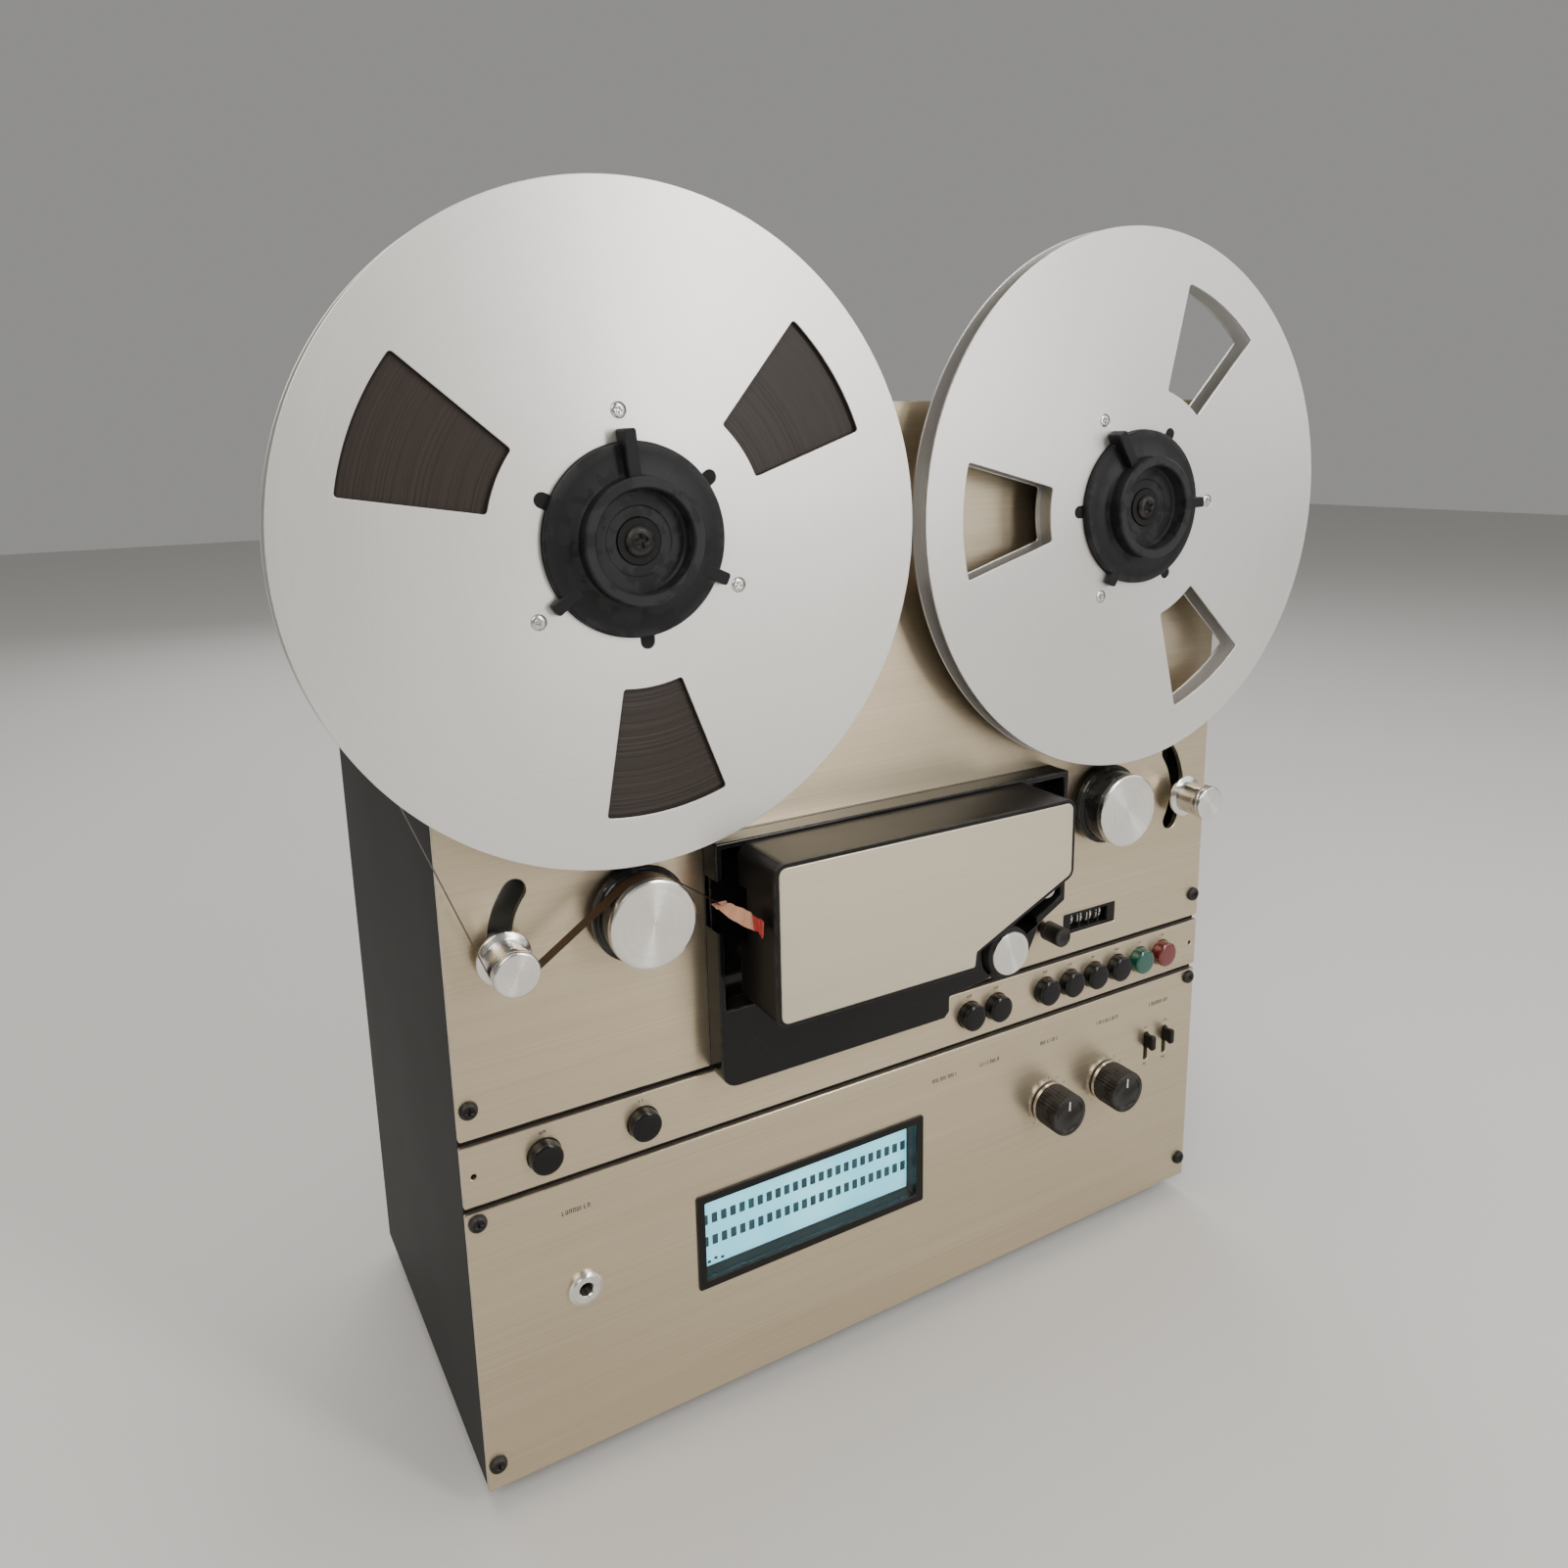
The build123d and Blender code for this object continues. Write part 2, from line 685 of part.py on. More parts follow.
def make_reel_motors():
    motors = []
    for s in (-1, 1):
        x = s * reel_x
        body = rod(reel_motor_radius, chassis_back_y, chassis_back_y + reel_motor_length, x, axis_z)
        body = fillet(body.edges().filter_by(GeomType.CIRCLE).group_by(Axis.Y)[-1], reel_motor_round)
        body -= rod(reel_shaft_radius + running_gap, chassis_back_y - 1,
                    chassis_back_y + reel_shaft_reach + free_gap, x, axis_z)
        motors.append(body)
    save("reel_motors", *motors)


# Rollers and tension arms
def make_guides():
    posts = []
    for s, name in ((-1, "supply"), (1, "takeup")):
        x = s * reel_x
        back = panel_face_y - guide_lift
        flange = rod(guide_flange_radius, back - guide_flange_t, back, x, guide_z)
        flange = fillet(flange.edges().filter_by(GeomType.CIRCLE), roller_round)
        body = flange + rod(guide_radius, tape_y - guide_cap_back, back - guide_flange_t, x, guide_z)
        front = tape_y - guide_cap_front
        post_tip = front + guide_post_depth
        bore = rod(guide_post_radius + running_gap, post_tip - free_gap, back + 1, x, guide_z)
        cap = rod(guide_cap_radius, front, tape_y - guide_cap_back, x, guide_z)
        cap = fillet(cap.edges().filter_by(GeomType.CIRCLE).group_by(Axis.Y)[0], roller_round)
        cap -= rod(guide_post_radius + running_gap, post_tip - free_gap, back + 1, x, guide_z)
        save(f"{name}_guide_roller", body - bore, cap)
        posts.append(rod(guide_post_radius, post_tip, chassis_front_y, x, guide_z))
        pin_front = panel_back_y + arm_pin_setback
        posts.append(rod(arm_pin_radius, pin_front, chassis_front_y, s * arm_pivot_x, arm_pivot_z))
    save("roller_posts", *posts)


def tension_centre(s):
    x, z = polar(arm_length, arm_rest_angle)
    return s * (arm_pivot_x + x), arm_pivot_z + z


def make_tension(s, name):
    x, z = tension_centre(s)
    px, pz = s * arm_pivot_x, arm_pivot_z
    arm_back = chassis_front_y - arm_back_room
    arm_front = arm_back - arm_t
    hub_front, hub_back = panel_back_y + arm_hub_setback, chassis_front_y - free_gap
    angle = math.degrees(math.atan2(z - pz, x - px))
    blade = block(0, arm_length, arm_front, arm_back, -arm_half_width, arm_half_width)
    arm = Pos(px, 0, pz) * Rot(0, -angle, 0) * blade
    arm += rod(arm_hub_radius, hub_front, hub_back, px, pz) + rod(arm_end_radius, arm_front, arm_back, x, z)
    disc_back = panel_face_y - tension_disc_lift
    disc_front = disc_back - tension_disc_t
    roller_front = tape_y - tension_front
    cap_back = tape_y - tape_width / 2 - tension_waist_room
    axle_tip = roller_front + axle_depth
    arm += rod(arm_post_radius, disc_back + running_gap, arm_front, x, z)
    arm += rod(roller_axle_radius, axle_tip + free_gap, disc_back + running_gap, x, z)
    arm -= rod(arm_pin_radius + running_gap, hub_front - 1, hub_back + 1, px, pz)
    save(f"{name}_tension_arm", arm)

    disc = rod(tension_disc_radius, disc_front, disc_back, x, z)
    disc = chamfer(disc.edges().filter_by(GeomType.CIRCLE), tension_disc_chamfer)
    cap = rod(tension_cap_radius, roller_front, cap_back, x, z)
    cap = fillet(cap.edges().filter_by(GeomType.CIRCLE).group_by(Axis.Y)[0], roller_round)
    roller = disc + rod(tension_radius, cap_back, disc_front, x, z) + cap
    roller -= rod(roller_axle_radius + running_gap, axle_tip, disc_back + 1, x, z)
    save(f"{name}_tension_roller", roller)


# Threaded tape, from the pack round the tension roller and over the guide roller
def tape_strip(start, end):
    """Straight stretch of tape between two (x, z) points."""
    length = math.dist(start, end)
    angle = math.degrees(math.atan2(end[1] - start[1], end[0] - start[0]))
    half = tape_width / 2
    strip = block(0, length, tape_y - half, tape_y + half, -tape_t / 2, tape_t / 2)
    return Pos(start[0], 0, start[1]) * Rot(0, -angle, 0) * strip


def tape_wrap(centre, radius, first, last):
    """Tape bent round a roller from the first angle to the last, anticlockwise."""
    middle = (first + last) / 2
    outer = [polar(radius + tape_t / 2, a, *centre) for a in (first, middle, last)]
    inner = [polar(radius - tape_t / 2, a, *centre) for a in (first, middle, last)]
    face = make_face([ThreePointArc(*outer), Line(outer[2], inner[2]), ThreePointArc(*inner[::-1]),
                      Line(inner[0], outer[0])])
    half = tape_width / 2
    return slab(face, tape_y - half, tape_y + half)


def tangent_angle(first, first_radius, second, second_radius):
    """Angle of the normal shared by both circles; a negative radius is met on the other side."""
    gap = math.dist(first, second)
    line = math.degrees(math.atan2(second[1] - first[1], second[0] - first[0]))
    return line, math.degrees(math.acos((first_radius - second_radius) / gap))


def make_tape():
    reel = (-reel_x, axis_z)
    roller = tension_centre(-1)
    guide = (-reel_x, guide_z)
    lift = tape_t / 2 + running_gap
    pack_r, roller_r, guide_r = pack_radius + lift, tension_radius + lift, guide_radius + lift
    line, spread = tangent_angle(reel, pack_r, roller, roller_r)
    leave = line - spread
    line, spread = tangent_angle(roller, roller_r, guide, -guide_r)
    under = line - spread
    over = under + 180
    strand_in = tape_strip(polar(pack_r, leave, *reel), polar(roller_r, leave, *roller))
    wrap = tape_wrap(roller, roller_r, leave % 360, under % 360)
    strand_out = tape_strip(polar(roller_r, under, *roller), polar(guide_r, over, *guide))
    save("tape_run", strand_in + wrap + strand_out)

    first = polar(guide_r, leader_angle, *guide)
    slope = math.radians(leader_angle - 90)
    length = (housing_left + 1.0 - first[0]) / math.cos(slope)
    end = (housing_left + 1.0, first[1] + length * math.sin(slope))
    bend = tape_wrap(guide, guide_r, leader_angle, over % 360)
    half = tape_width / 2
    tail_x = cover_left - cover_rim - leader_edge_room
    near, middle, tip = leader_reach
    route = [(end[0] - 0.4, tape_y - half + 0.5), (end[0], tape_y - half - near), (tail_x, tape_y - middle),
             (tail_x, tape_y - tip)]
    inner = [(x + leader_t, y) for x, y in route]
    face = make_face(Polyline(*route, *inner[::-1], close=True))
    tail = Pos(0, 0, end[1] - tape_width + tape_t / 2) * extrude(face, amount=tape_width)
    save("tape_leader", bend + tape_strip(first, end) + tail)


# Head housing, heads, pinch roller and cover
def cover_outline(grow):
    """Outline of the cover's front plate, set outwards by grow."""
    left, right = cover_left - grow, cover_right + grow
    top = axis_z - cover_top_drop + grow
    bottom = axis_z - cover_bottom_drop - grow
    low = bottom + cover_step_rise
    points = [(left, bottom), (cover_right - cover_chamfer[0] - cover_step_run + grow, bottom),
              (cover_right - cover_chamfer[0] + grow * 0.6, low + grow * 0.4),
              (right, low + cover_chamfer[1] + grow * 0.3), (right, top), (left, top)]
    face = outline(points)
    corners = face.vertices().sort_by(Axis.X)
    return fillet(corners[:2] + corners[-2:], cover_corner + grow)


def pinch_sweep(radius, front, back):
    """Room for the pinch roller over its whole swing."""
    room = rod(radius, front, back, pinch_x, pinch_z)
    for part in (0.5, 1.0):
        swung = Pos(-pinch_pivot_x, 0, -pinch_pivot_z) * rod(radius, front, back, pinch_x, pinch_z)
        room += Pos(pinch_pivot_x, 0, pinch_pivot_z) * Rot(0, -pinch_swing * part, 0) * swung
    return room


def cover_post_places():
    z = axis_z - cover_top_drop - cover_post_inset
    return [(cover_left + cover_post_inset, z), (cover_right - cover_post_inset, z)]


def make_housing():
    bottom = axis_z - housing_bottom_drop
    top = axis_z - housing_top_drop
    points = [(housing_left, bottom), *((x, bottom + rise) for x, rise in housing_steps),
              (housing_right, bottom + housing_right_rise), (housing_right, top), (housing_left, top)]
    body = slab(outline(points), housing_front_y, panel_face_y)
    body = fillet(body.edges().filter_by(Axis.Y).sort_by(Axis.Z)[:1], housing_corner)
    t = housing_wall_t
    sill = axis_z - housing_sill_drop
    inside = [(housing_left + t, sill), *((pinch_pivot_x + run, sill - drop) for run, drop in cavity_steps),
              (housing_right - t, bottom + housing_right_rise + t), (housing_right - t, top - t),
              (housing_left + t, top - t)]
    body -= slab(outline(inside), housing_front_y - 1, housing_floor_y)
    body -= pinch_sweep(pinch_radius + pinch_room, housing_front_y - 1, housing_floor_y)
    tape_z = axis_z - tape_slot_drop
    for x0, x1 in ((housing_left - 1, housing_left + t + 1), (housing_right - t - 1, housing_right + 1)):
        body -= block(x0, x1, housing_front_y - 1, housing_floor_y - 1, tape_z - tape_slot_low,
                      tape_z + tape_slot_high)
    body -= rod(capstan_radius + shaft_hole_room, housing_floor_y - 1, panel_face_y + 1, capstan_x, capstan_z)
    for x, z in cover_post_places():
        body += rod(cover_post_radius, housing_floor_y - cover_post_length, housing_floor_y, x, z)
    body += rod(pinch_post_radius, housing_floor_y - pinch_post_length, housing_floor_y,
                pinch_pivot_x, pinch_pivot_z)
    save("head_housing", body)


def make_heads():
    base_back = housing_floor_y
    base_front = base_back - head_base_t
    line = axis_z - head_line_drop
    w, d, h = head_size
    low, high = head_base_heights
    pieces = [block(head_x[0] - head_base_reach, head_x[-1] + head_base_reach, base_front, base_back,
                    line + low, line + high)]
    for x in head_x:
        head = block(x - w / 2, x + w / 2, base_front - d, base_front, line, line + h)
        pieces.append(fillet(head.edges().filter_by(Axis.Y).group_by(Axis.Z)[0], head_round))
        reach = w / 2 - head_clamp_inset
        clamp = block(x - reach, x + reach, base_front - d + head_clamp_inset, base_front, line + h,
                      line + h + head_clamp_height)
        pieces.append(clamp)
    pin_z = axis_z - guide_pin_drop
    for x in guide_pin_x:
        pin = rod(guide_pin_radius, base_front - d, base_back, x, pin_z)
        for s in (-1, 1):
            near, far = sorted(tape_y + s * (tape_width / 2 + step) for step in guide_pin_flange_steps)
            pin += rod(guide_pin_flange_radius, near, far, x, pin_z)
        pieces.append(pin)
    save("tape_heads", *pieces)


def make_cover():
    front = panel_face_y - cover_proud
    plate_back = front + cover_plate_t
    shell_back = housing_front_y - free_gap
    save("head_cover_plate", chamfer_front(slab(cover_outline(0), front, plate_back), cover_plate_chamfer))

    shell = slab(cover_outline(cover_rim), plate_back, shell_back)
    inside = slab(cover_outline(cover_rim - cover_wall_t), plate_back + cover_wall_t, shell_back + 1)
    shell -= inside
    lip = slab(cover_outline(cover_rim), front + cover_plate_chamfer, plate_back)
    shell += lip - slab(cover_outline(sliding_gap), front - 1, plate_back)
    tape_z = axis_z - cover_slot_drop
    for x in (cover_left, cover_right):
        shell -= block(x - 4, x + 4, tape_y - 8, shell_back + 1, tape_z - 14, tape_z + 12)
    for x, z in cover_post_places():
        shell += ring(cover_post_radius + cover_sleeve_t, cover_post_radius + running_gap,
                      plate_back + cover_wall_t, shell_back, x, z)
    save("head_cover_shell", shell)


def chamfer_front(body, size):
    return chamfer(body.faces().sort_by(Axis.Y)[0].edges(), size)


def make_pinch():
    arm_back = housing_floor_y - 1.0
    arm_front = arm_back - pinch_arm_t
    angle = math.degrees(math.atan2(pinch_z - pinch_pivot_z, pinch_x - pinch_pivot_x))
    reach = math.dist((pinch_x, pinch_z), (pinch_pivot_x, pinch_pivot_z))
    blade = block(0, reach, arm_front, arm_back, -pinch_arm_half, pinch_arm_half)
    arm = Pos(pinch_pivot_x, 0, pinch_pivot_z) * Rot(0, -angle, 0) * blade
    arm += rod(pinch_hub_radius, arm_front, arm_back, pinch_pivot_x, pinch_pivot_z)
    arm += rod(pinch_end_radius, arm_front, arm_back, pinch_x, pinch_z)
    tyre_back = arm_front - 0.5
    tyre_front = tape_y - tape_width / 2 - 0.8
    cap_front = reel_front_y
    arm += rod(pinch_axle_radius, cap_front + 2, arm_front, pinch_x, pinch_z)
    arm -= rod(pinch_post_radius + running_gap, arm_front - 1, arm_back + 1, pinch_pivot_x, pinch_pivot_z)
    save("pinch_arm", arm)
    tyre = rod(pinch_radius, tyre_front, tyre_back, pinch_x, pinch_z)
    tyre = fillet(tyre.edges().filter_by(GeomType.CIRCLE), pinch_round)
    tyre -= rod(pinch_axle_radius + running_gap, cap_front + 1.5, tyre_back + 1, pinch_x, pinch_z)
    cap = rod(pinch_cap_radius, cap_front, tyre_front, pinch_x, pinch_z)
    cap = chamfer(cap.edges().filter_by(GeomType.CIRCLE).group_by(Axis.Y)[0], 0.5)
    cap -= rod(pinch_axle_radius + running_gap, cap_front + 1.5, tyre_back + 1, pinch_x, pinch_z)
    save("pinch_roller", tyre, cap)


def make_capstan():
    back = chassis_back_y + capstan_motor_length
    motor = rod(capstan_motor_radius, chassis_back_y, back, capstan_x, capstan_z)
    motor = fillet(motor.edges().filter_by(GeomType.CIRCLE).group_by(Axis.Y)[-1], capstan_motor_round)
    motor -= rod(capstan_radius + running_gap, chassis_back_y - 1, back + 1, capstan_x, capstan_z)
    save("capstan_motor", motor)
    wheel = rod(flywheel_radius, back + free_gap, back + free_gap + flywheel_t, capstan_x, capstan_z)
    wheel = chamfer(wheel.edges().filter_by(GeomType.CIRCLE), flywheel_chamfer)
    wheel += rod(capstan_radius, tape_y - capstan_reach, back + free_gap, capstan_x, capstan_z)
    save("capstan_flywheel", wheel)


# Buttons, counter, knobs, levers, meter and headphone socket
def make_controls():
    for name, x in button_places.items():
        button = rod(button_radius, panel_face_y - button_proud, panel_back_y + button_depth, x, button_z)
        button = fillet(button.edges().filter_by(GeomType.CIRCLE).group_by(Axis.Y)[0], button_round)
        button += rod(button_flange_radius, panel_back_y + sliding_gap, panel_back_y + button_depth,
                      x, button_z)
        save(name, button)

    w, h = counter_window
    box_front = panel_face_y + free_gap
    bezel = block(counter_x - w / 2 + counter_rim, counter_x + w / 2 - counter_rim, box_front, panel_back_y,
                  counter_z - h / 2 + counter_rim, counter_z + h / 2 - counter_rim)
    axle_y = (panel_back_y + chassis_front_y) / 2 + 0.5
    half = counter_wheel_radius + counter_wheel_room
    edge = counter_frame_edge
    box = block(counter_x - w / 2 - edge, counter_x + w / 2 + edge, panel_back_y, chassis_front_y,
                counter_z - half - edge, counter_z + half + edge)
    inner = counter_wheel_count * counter_wheel_t / 2 + 1.0
    frame = bezel + box
    frame -= block(counter_x - inner, counter_x + inner, box_front - 1, chassis_front_y + 1,
                   counter_z - half - 0.5, counter_z + half + 0.5)
    on_axle = Pos(counter_x, axle_y, counter_z) * Rot(0, 90, 0)
    axle = on_axle * Cylinder(counter_axle_radius + running_gap, w + 10)
    save("counter_frame", frame - axle)
    shaft = on_axle * Cylinder(counter_axle_radius, 2 * inner + 2 * edge)
    for i in range(counter_wheel_count):
        shift = (i - (counter_wheel_count - 1) / 2) * counter_wheel_t
        wheel = Cylinder(counter_wheel_radius, counter_wheel_t - 2 * counter_rim)
        shaft += Pos(shift, 0, 0) * on_axle * wheel
    save("counter_wheels", shaft)

    reset = rod(reset_radius, panel_face_y - reset_proud, panel_face_y - reset_lift, reset_x, reset_z)
    reset = fillet(reset.edges().filter_by(GeomType.CIRCLE).group_by(Axis.Y)[0], reset_round)
    reset += rod(reset_radius / 2, panel_face_y - reset_lift, panel_back_y + button_depth, reset_x, reset_z)
    reset += rod(reset_radius / 2 + 1, panel_back_y + sliding_gap, panel_back_y + button_depth,
                 reset_x, reset_z)
    save("counter_reset", reset)

    boards = []
    for name, x in knob_places.items():
        back = panel_face_y - knob_lift
        knob = rod(knob_radius, back - knob_length, back, x, knob_z)
        knob = fillet(knob.edges().filter_by(GeomType.CIRCLE).group_by(Axis.Y)[0], knob_round)
        knob += rod(knob_shaft_radius, back, panel_back_y + knob_shaft_depth, x, knob_z)
        knob -= block(x - screw_slot_half, x + screw_slot_half, back - knob_length - 1,
                      back - knob_length + knob_mark_depth, knob_z + knob_shaft_radius,
                      knob_z + knob_radius + 1)
        save(name, knob)
        pot = block(x - pot_half, x + pot_half, panel_back_y, chassis_front_y, knob_z - pot_half,
                    knob_z + pot_half)
        pot -= rod(knob_shaft_radius + running_gap, panel_back_y - 1,
                   panel_back_y + knob_shaft_depth + free_gap, x, knob_z)
        boards.append(pot)
    top = axis_z - lever_drop
    for name, x in lever_places.items():
        half = lever_width / 2
        lever = block(x - half, x + half, panel_face_y - lever_proud, panel_back_y + lever_depth,
                      top - lever_length, top)
        lever = fillet(lever.faces().sort_by(Axis.Y)[0].edges().filter_by(Axis.X), lever_round)
        save(name, lever)
        low = top - lever_length - lever_travel
        body = block(x - lever_body_half, x + lever_body_half, panel_back_y, chassis_front_y,
                     low - lever_body_end, top + lever_body_end)
        body -= block(x - half - sliding_gap, x + half + sliding_gap, panel_back_y - 1,
                      panel_back_y + lever_depth + 1, low - free_gap, top + free_gap)
        boards.append(body)
    return boards


def make_meter():
    meter_top = axis_z - meter_top_drop
    low = meter_top - meter_height
    bezel = block(meter_left, meter_right, panel_face_y - meter_proud, panel_face_y, low, meter_top)
    fit = meter_rim + 2 * sliding_gap
    body = block(meter_left + fit, meter_right - fit, panel_face_y, chassis_front_y, low + fit, meter_top - fit)
    inset = fit + meter_wall_t
    window = (meter_left + inset, meter_right - inset)
    heights = (low + inset, meter_top - inset)
    hollow = block(*window, panel_face_y - meter_proud - 1, panel_back_y + meter_depth, *heights)
    glass = block(*window, panel_face_y + meter_glass[0], panel_face_y + meter_glass[1], *heights)
    save("meter_unit", bezel + body - hollow, glass)

    mouth = panel_face_y - jack_proud
    tube = rod(jack_hole_radius - sliding_gap, panel_face_y, panel_back_y, jack_x, jack_z)
    tube += rod(jack_nut_radius, mouth, panel_face_y, jack_x, jack_z)
    tube += block(jack_x - jack_body_half, jack_x + jack_body_half, panel_back_y, chassis_front_y,
                  jack_z - jack_body_half, jack_z + jack_body_half)
    tube -= rod(jack_bore_radius, mouth - 1, mouth + jack_bore_length, jack_x, jack_z)
    save("headphone_jack", tube)


# Power supply, boards and rear sockets
def make_electrics(switch_bodies):
    floor = inner_bottom
    x0, x1 = transformer_x
    y0, y1 = transformer_y
    top = floor + bracket_t
    bracket = block(x0 - bracket_reach, x1 + bracket_reach, y0, y1, floor, top)
    core = block(x0, x1, y0 + coil_t, y1 - coil_t, top, top + transformer_height)
    low, high = (floor + rise for rise in coil_heights)
    coils = [block(x0 + coil_inset, x1 - coil_inset, y, y + coil_t, low, high) for y in (y0, y1 - coil_t)]
    save("power_transformer", bracket, core, *coils)

    low = floor + board_lift
    high = low + board_t
    pieces = [block(*board_x, *board_y, low, high)]
    for x in (board_x[0] + board_pillar_inset, board_x[1] - board_pillar_inset):
        for y in (board_y[0] + board_pillar_inset, board_y[1] - board_pillar_inset):
            pieces.append(Pos(x, y, (floor + low) / 2) * Cylinder(board_pillar_radius, board_lift))
    for x, y in can_places:
        pieces.append(Pos(x, y, high + can_height / 2) * Cylinder(can_radius, can_height))
    pieces.append(block(*sink_x, *sink_y, high, low + sink_height))
    save("circuit_boards", *pieces, *switch_bodies)

    w, h = jack_panel_size
    rear = cabinet_back_y - rear_t
    plate = block(jack_panel_x - w / 2, jack_panel_x + w / 2, rear - jack_panel_t, rear,
                  jack_panel_z - h / 2, jack_panel_z + h / 2)
    pieces = []
    for i in range(2):
        for s in (-1, 1):
            x = jack_panel_x + rca_offset + i * rca_pitch
            z = jack_panel_z + s * rca_pitch / 2
            jack = ring(rca_radius, rca_bore_radius, rear, rear + rca_length, x, z)
            pieces.append(jack + ring(rca_nut_radius, rca_bore_radius, rear, rear + rca_nut_t, x, z))
    left, right = (jack_panel_x + x for x in inlet_x)
    inlet = block(left, right, rear, rear + inlet_proud, jack_panel_z - inlet_half, jack_panel_z + inlet_half)
    inlet -= block(left + inlet_wall, right - inlet_wall, rear + 1, rear + inlet_proud + 1,
                   jack_panel_z - inlet_half + inlet_wall, jack_panel_z + inlet_half - inlet_wall)
    for x in inlet_pin_x:
        inlet += rod(inlet_pin_radius, rear + 1, rear + inlet_proud - 0.5, jack_panel_x + x, jack_panel_z)
    save("rear_jack_panel", plate, inlet, *pieces)


os.makedirs("parts", exist_ok=True)
make_cabinet()
make_feet()
make_panel_screws()
make_panels()
for reel_name, reel_side, reel_turn, loaded in (("supply", -1, supply_turn, True),
                                                ("takeup", 1, takeup_turn, False)):
    make_reel(reel_name, reel_side * reel_x, reel_turn, loaded)
    make_turntable(reel_name, reel_side * reel_x, reel_turn)
    make_tension(reel_side, reel_name)
make_reel_motors()
make_guides()
make_tape()
make_housing()
make_heads()
make_cover()
make_pinch()
make_capstan()
make_meter()
make_electrics(make_controls())
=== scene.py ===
import bpy
import bmesh
import math
import random
from mathutils import Matrix, Vector
from mathutils.geometry import tessellate_polygon


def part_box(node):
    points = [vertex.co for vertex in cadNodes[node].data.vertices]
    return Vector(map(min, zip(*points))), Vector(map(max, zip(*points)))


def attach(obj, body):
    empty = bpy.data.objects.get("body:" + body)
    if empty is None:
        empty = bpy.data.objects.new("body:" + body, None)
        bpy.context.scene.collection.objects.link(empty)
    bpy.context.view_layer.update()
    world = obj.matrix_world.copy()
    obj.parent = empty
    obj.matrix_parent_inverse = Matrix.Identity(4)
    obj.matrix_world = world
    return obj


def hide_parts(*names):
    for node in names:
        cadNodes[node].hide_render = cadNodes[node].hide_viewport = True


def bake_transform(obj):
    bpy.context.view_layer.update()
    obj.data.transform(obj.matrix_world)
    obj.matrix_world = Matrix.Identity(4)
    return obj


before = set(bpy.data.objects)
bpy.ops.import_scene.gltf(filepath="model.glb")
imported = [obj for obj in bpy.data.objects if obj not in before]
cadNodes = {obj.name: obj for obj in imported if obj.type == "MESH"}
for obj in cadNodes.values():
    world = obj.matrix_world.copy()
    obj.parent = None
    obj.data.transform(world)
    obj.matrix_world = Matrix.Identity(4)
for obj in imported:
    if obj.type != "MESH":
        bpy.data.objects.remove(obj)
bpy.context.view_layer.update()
random.seed(11)
mm = 0.001
print("stage: frame loaded,", len(cadNodes), "nodes")

# Places that most pieces share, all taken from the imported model
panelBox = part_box("transport_panel")
panelY = panelBox[0].y
panelBackY = panelBox[1].y
reelNames = ("supply", "takeup")


def middle(node):
    low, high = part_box(node)
    return (low + high) / 2


def spot(node):
    # a node's middle as the front shows it, in x and z
    at = middle(node)
    return at.x, at.z


def addNode(tree, kind, **values):
    node = tree.nodes.new(kind)
    for name, value in values.items():
        if hasattr(node, name):
            setattr(node, name, value)
        else:
            node.inputs[name.replace("_", " ")].default_value = value
    return node


def newGroup(name, inputs, outputs):
    tree = bpy.data.node_groups.new(name, "ShaderNodeTree")
    for label, value in inputs.items():
        socket = tree.interface.new_socket(name=label, in_out="INPUT", socket_type="NodeSocketFloat")
        socket.default_value = value
    for label in outputs:
        tree.interface.new_socket(name=label, in_out="OUTPUT", socket_type="NodeSocketFloat")
    return tree, tree.nodes.new("NodeGroupInput"), tree.nodes.new("NodeGroupOutput")


def mathNode(tree, operation, first, second=None):
    node = addNode(tree, "ShaderNodeMath", operation=operation)
    for index, value in enumerate((first, second)):
        if value is None:
            continue
        if isinstance(value, (int, float)):
            node.inputs[index].default_value = value
        else:
            tree.links.new(value, node.inputs[index])
    return node.outputs[0]


def mixTones(tree, amount, first, second):
    node = tree.nodes.new("ShaderNodeMix")
    node.data_type = "RGBA"
    for socket, value in ((node.inputs[0], amount), (node.inputs[6], first), (node.inputs[7], second)):
        if isinstance(value, tuple):
            socket.default_value = (*value, 1.0)
        else:
            tree.links.new(value, socket)
    return node.outputs[2]


def objectNoise(tree, **values):
    # noise that keeps its size, because it reads the piece's own coordinates
    noise = addNode(tree, "ShaderNodeTexNoise", **values)
    tree.links.new(tree.nodes.new("ShaderNodeTexCoord").outputs["Object"], noise.inputs["Vector"])
    return noise


def splitPlace(tree):
    split = tree.nodes.new("ShaderNodeSeparateXYZ")
    tree.links.new(tree.nodes.new("ShaderNodeTexCoord").outputs["Object"], split.inputs[0])
    return split.outputs


def joinedNoise(tree, parts, detail):
    # noise read at a place that is put together from three values
    join = tree.nodes.new("ShaderNodeCombineXYZ")
    for part, socket in zip(parts, join.inputs):
        tree.links.new(part, socket)
    noise = addNode(tree, "ShaderNodeTexNoise", Scale=1.0, Detail=detail)
    tree.links.new(join.outputs[0], noise.inputs["Vector"])
    return noise.outputs[0]


def shareTones(tree, first, second, share):
    return mathNode(tree, "ADD", mathNode(tree, "MULTIPLY", first, share),
                    mathNode(tree, "MULTIPLY", second, 1 - share))


def clampInto(tree, value, socket):
    clamp = addNode(tree, "ShaderNodeClamp")
    tree.links.new(value, clamp.inputs[0])
    tree.links.new(clamp.outputs[0], socket)


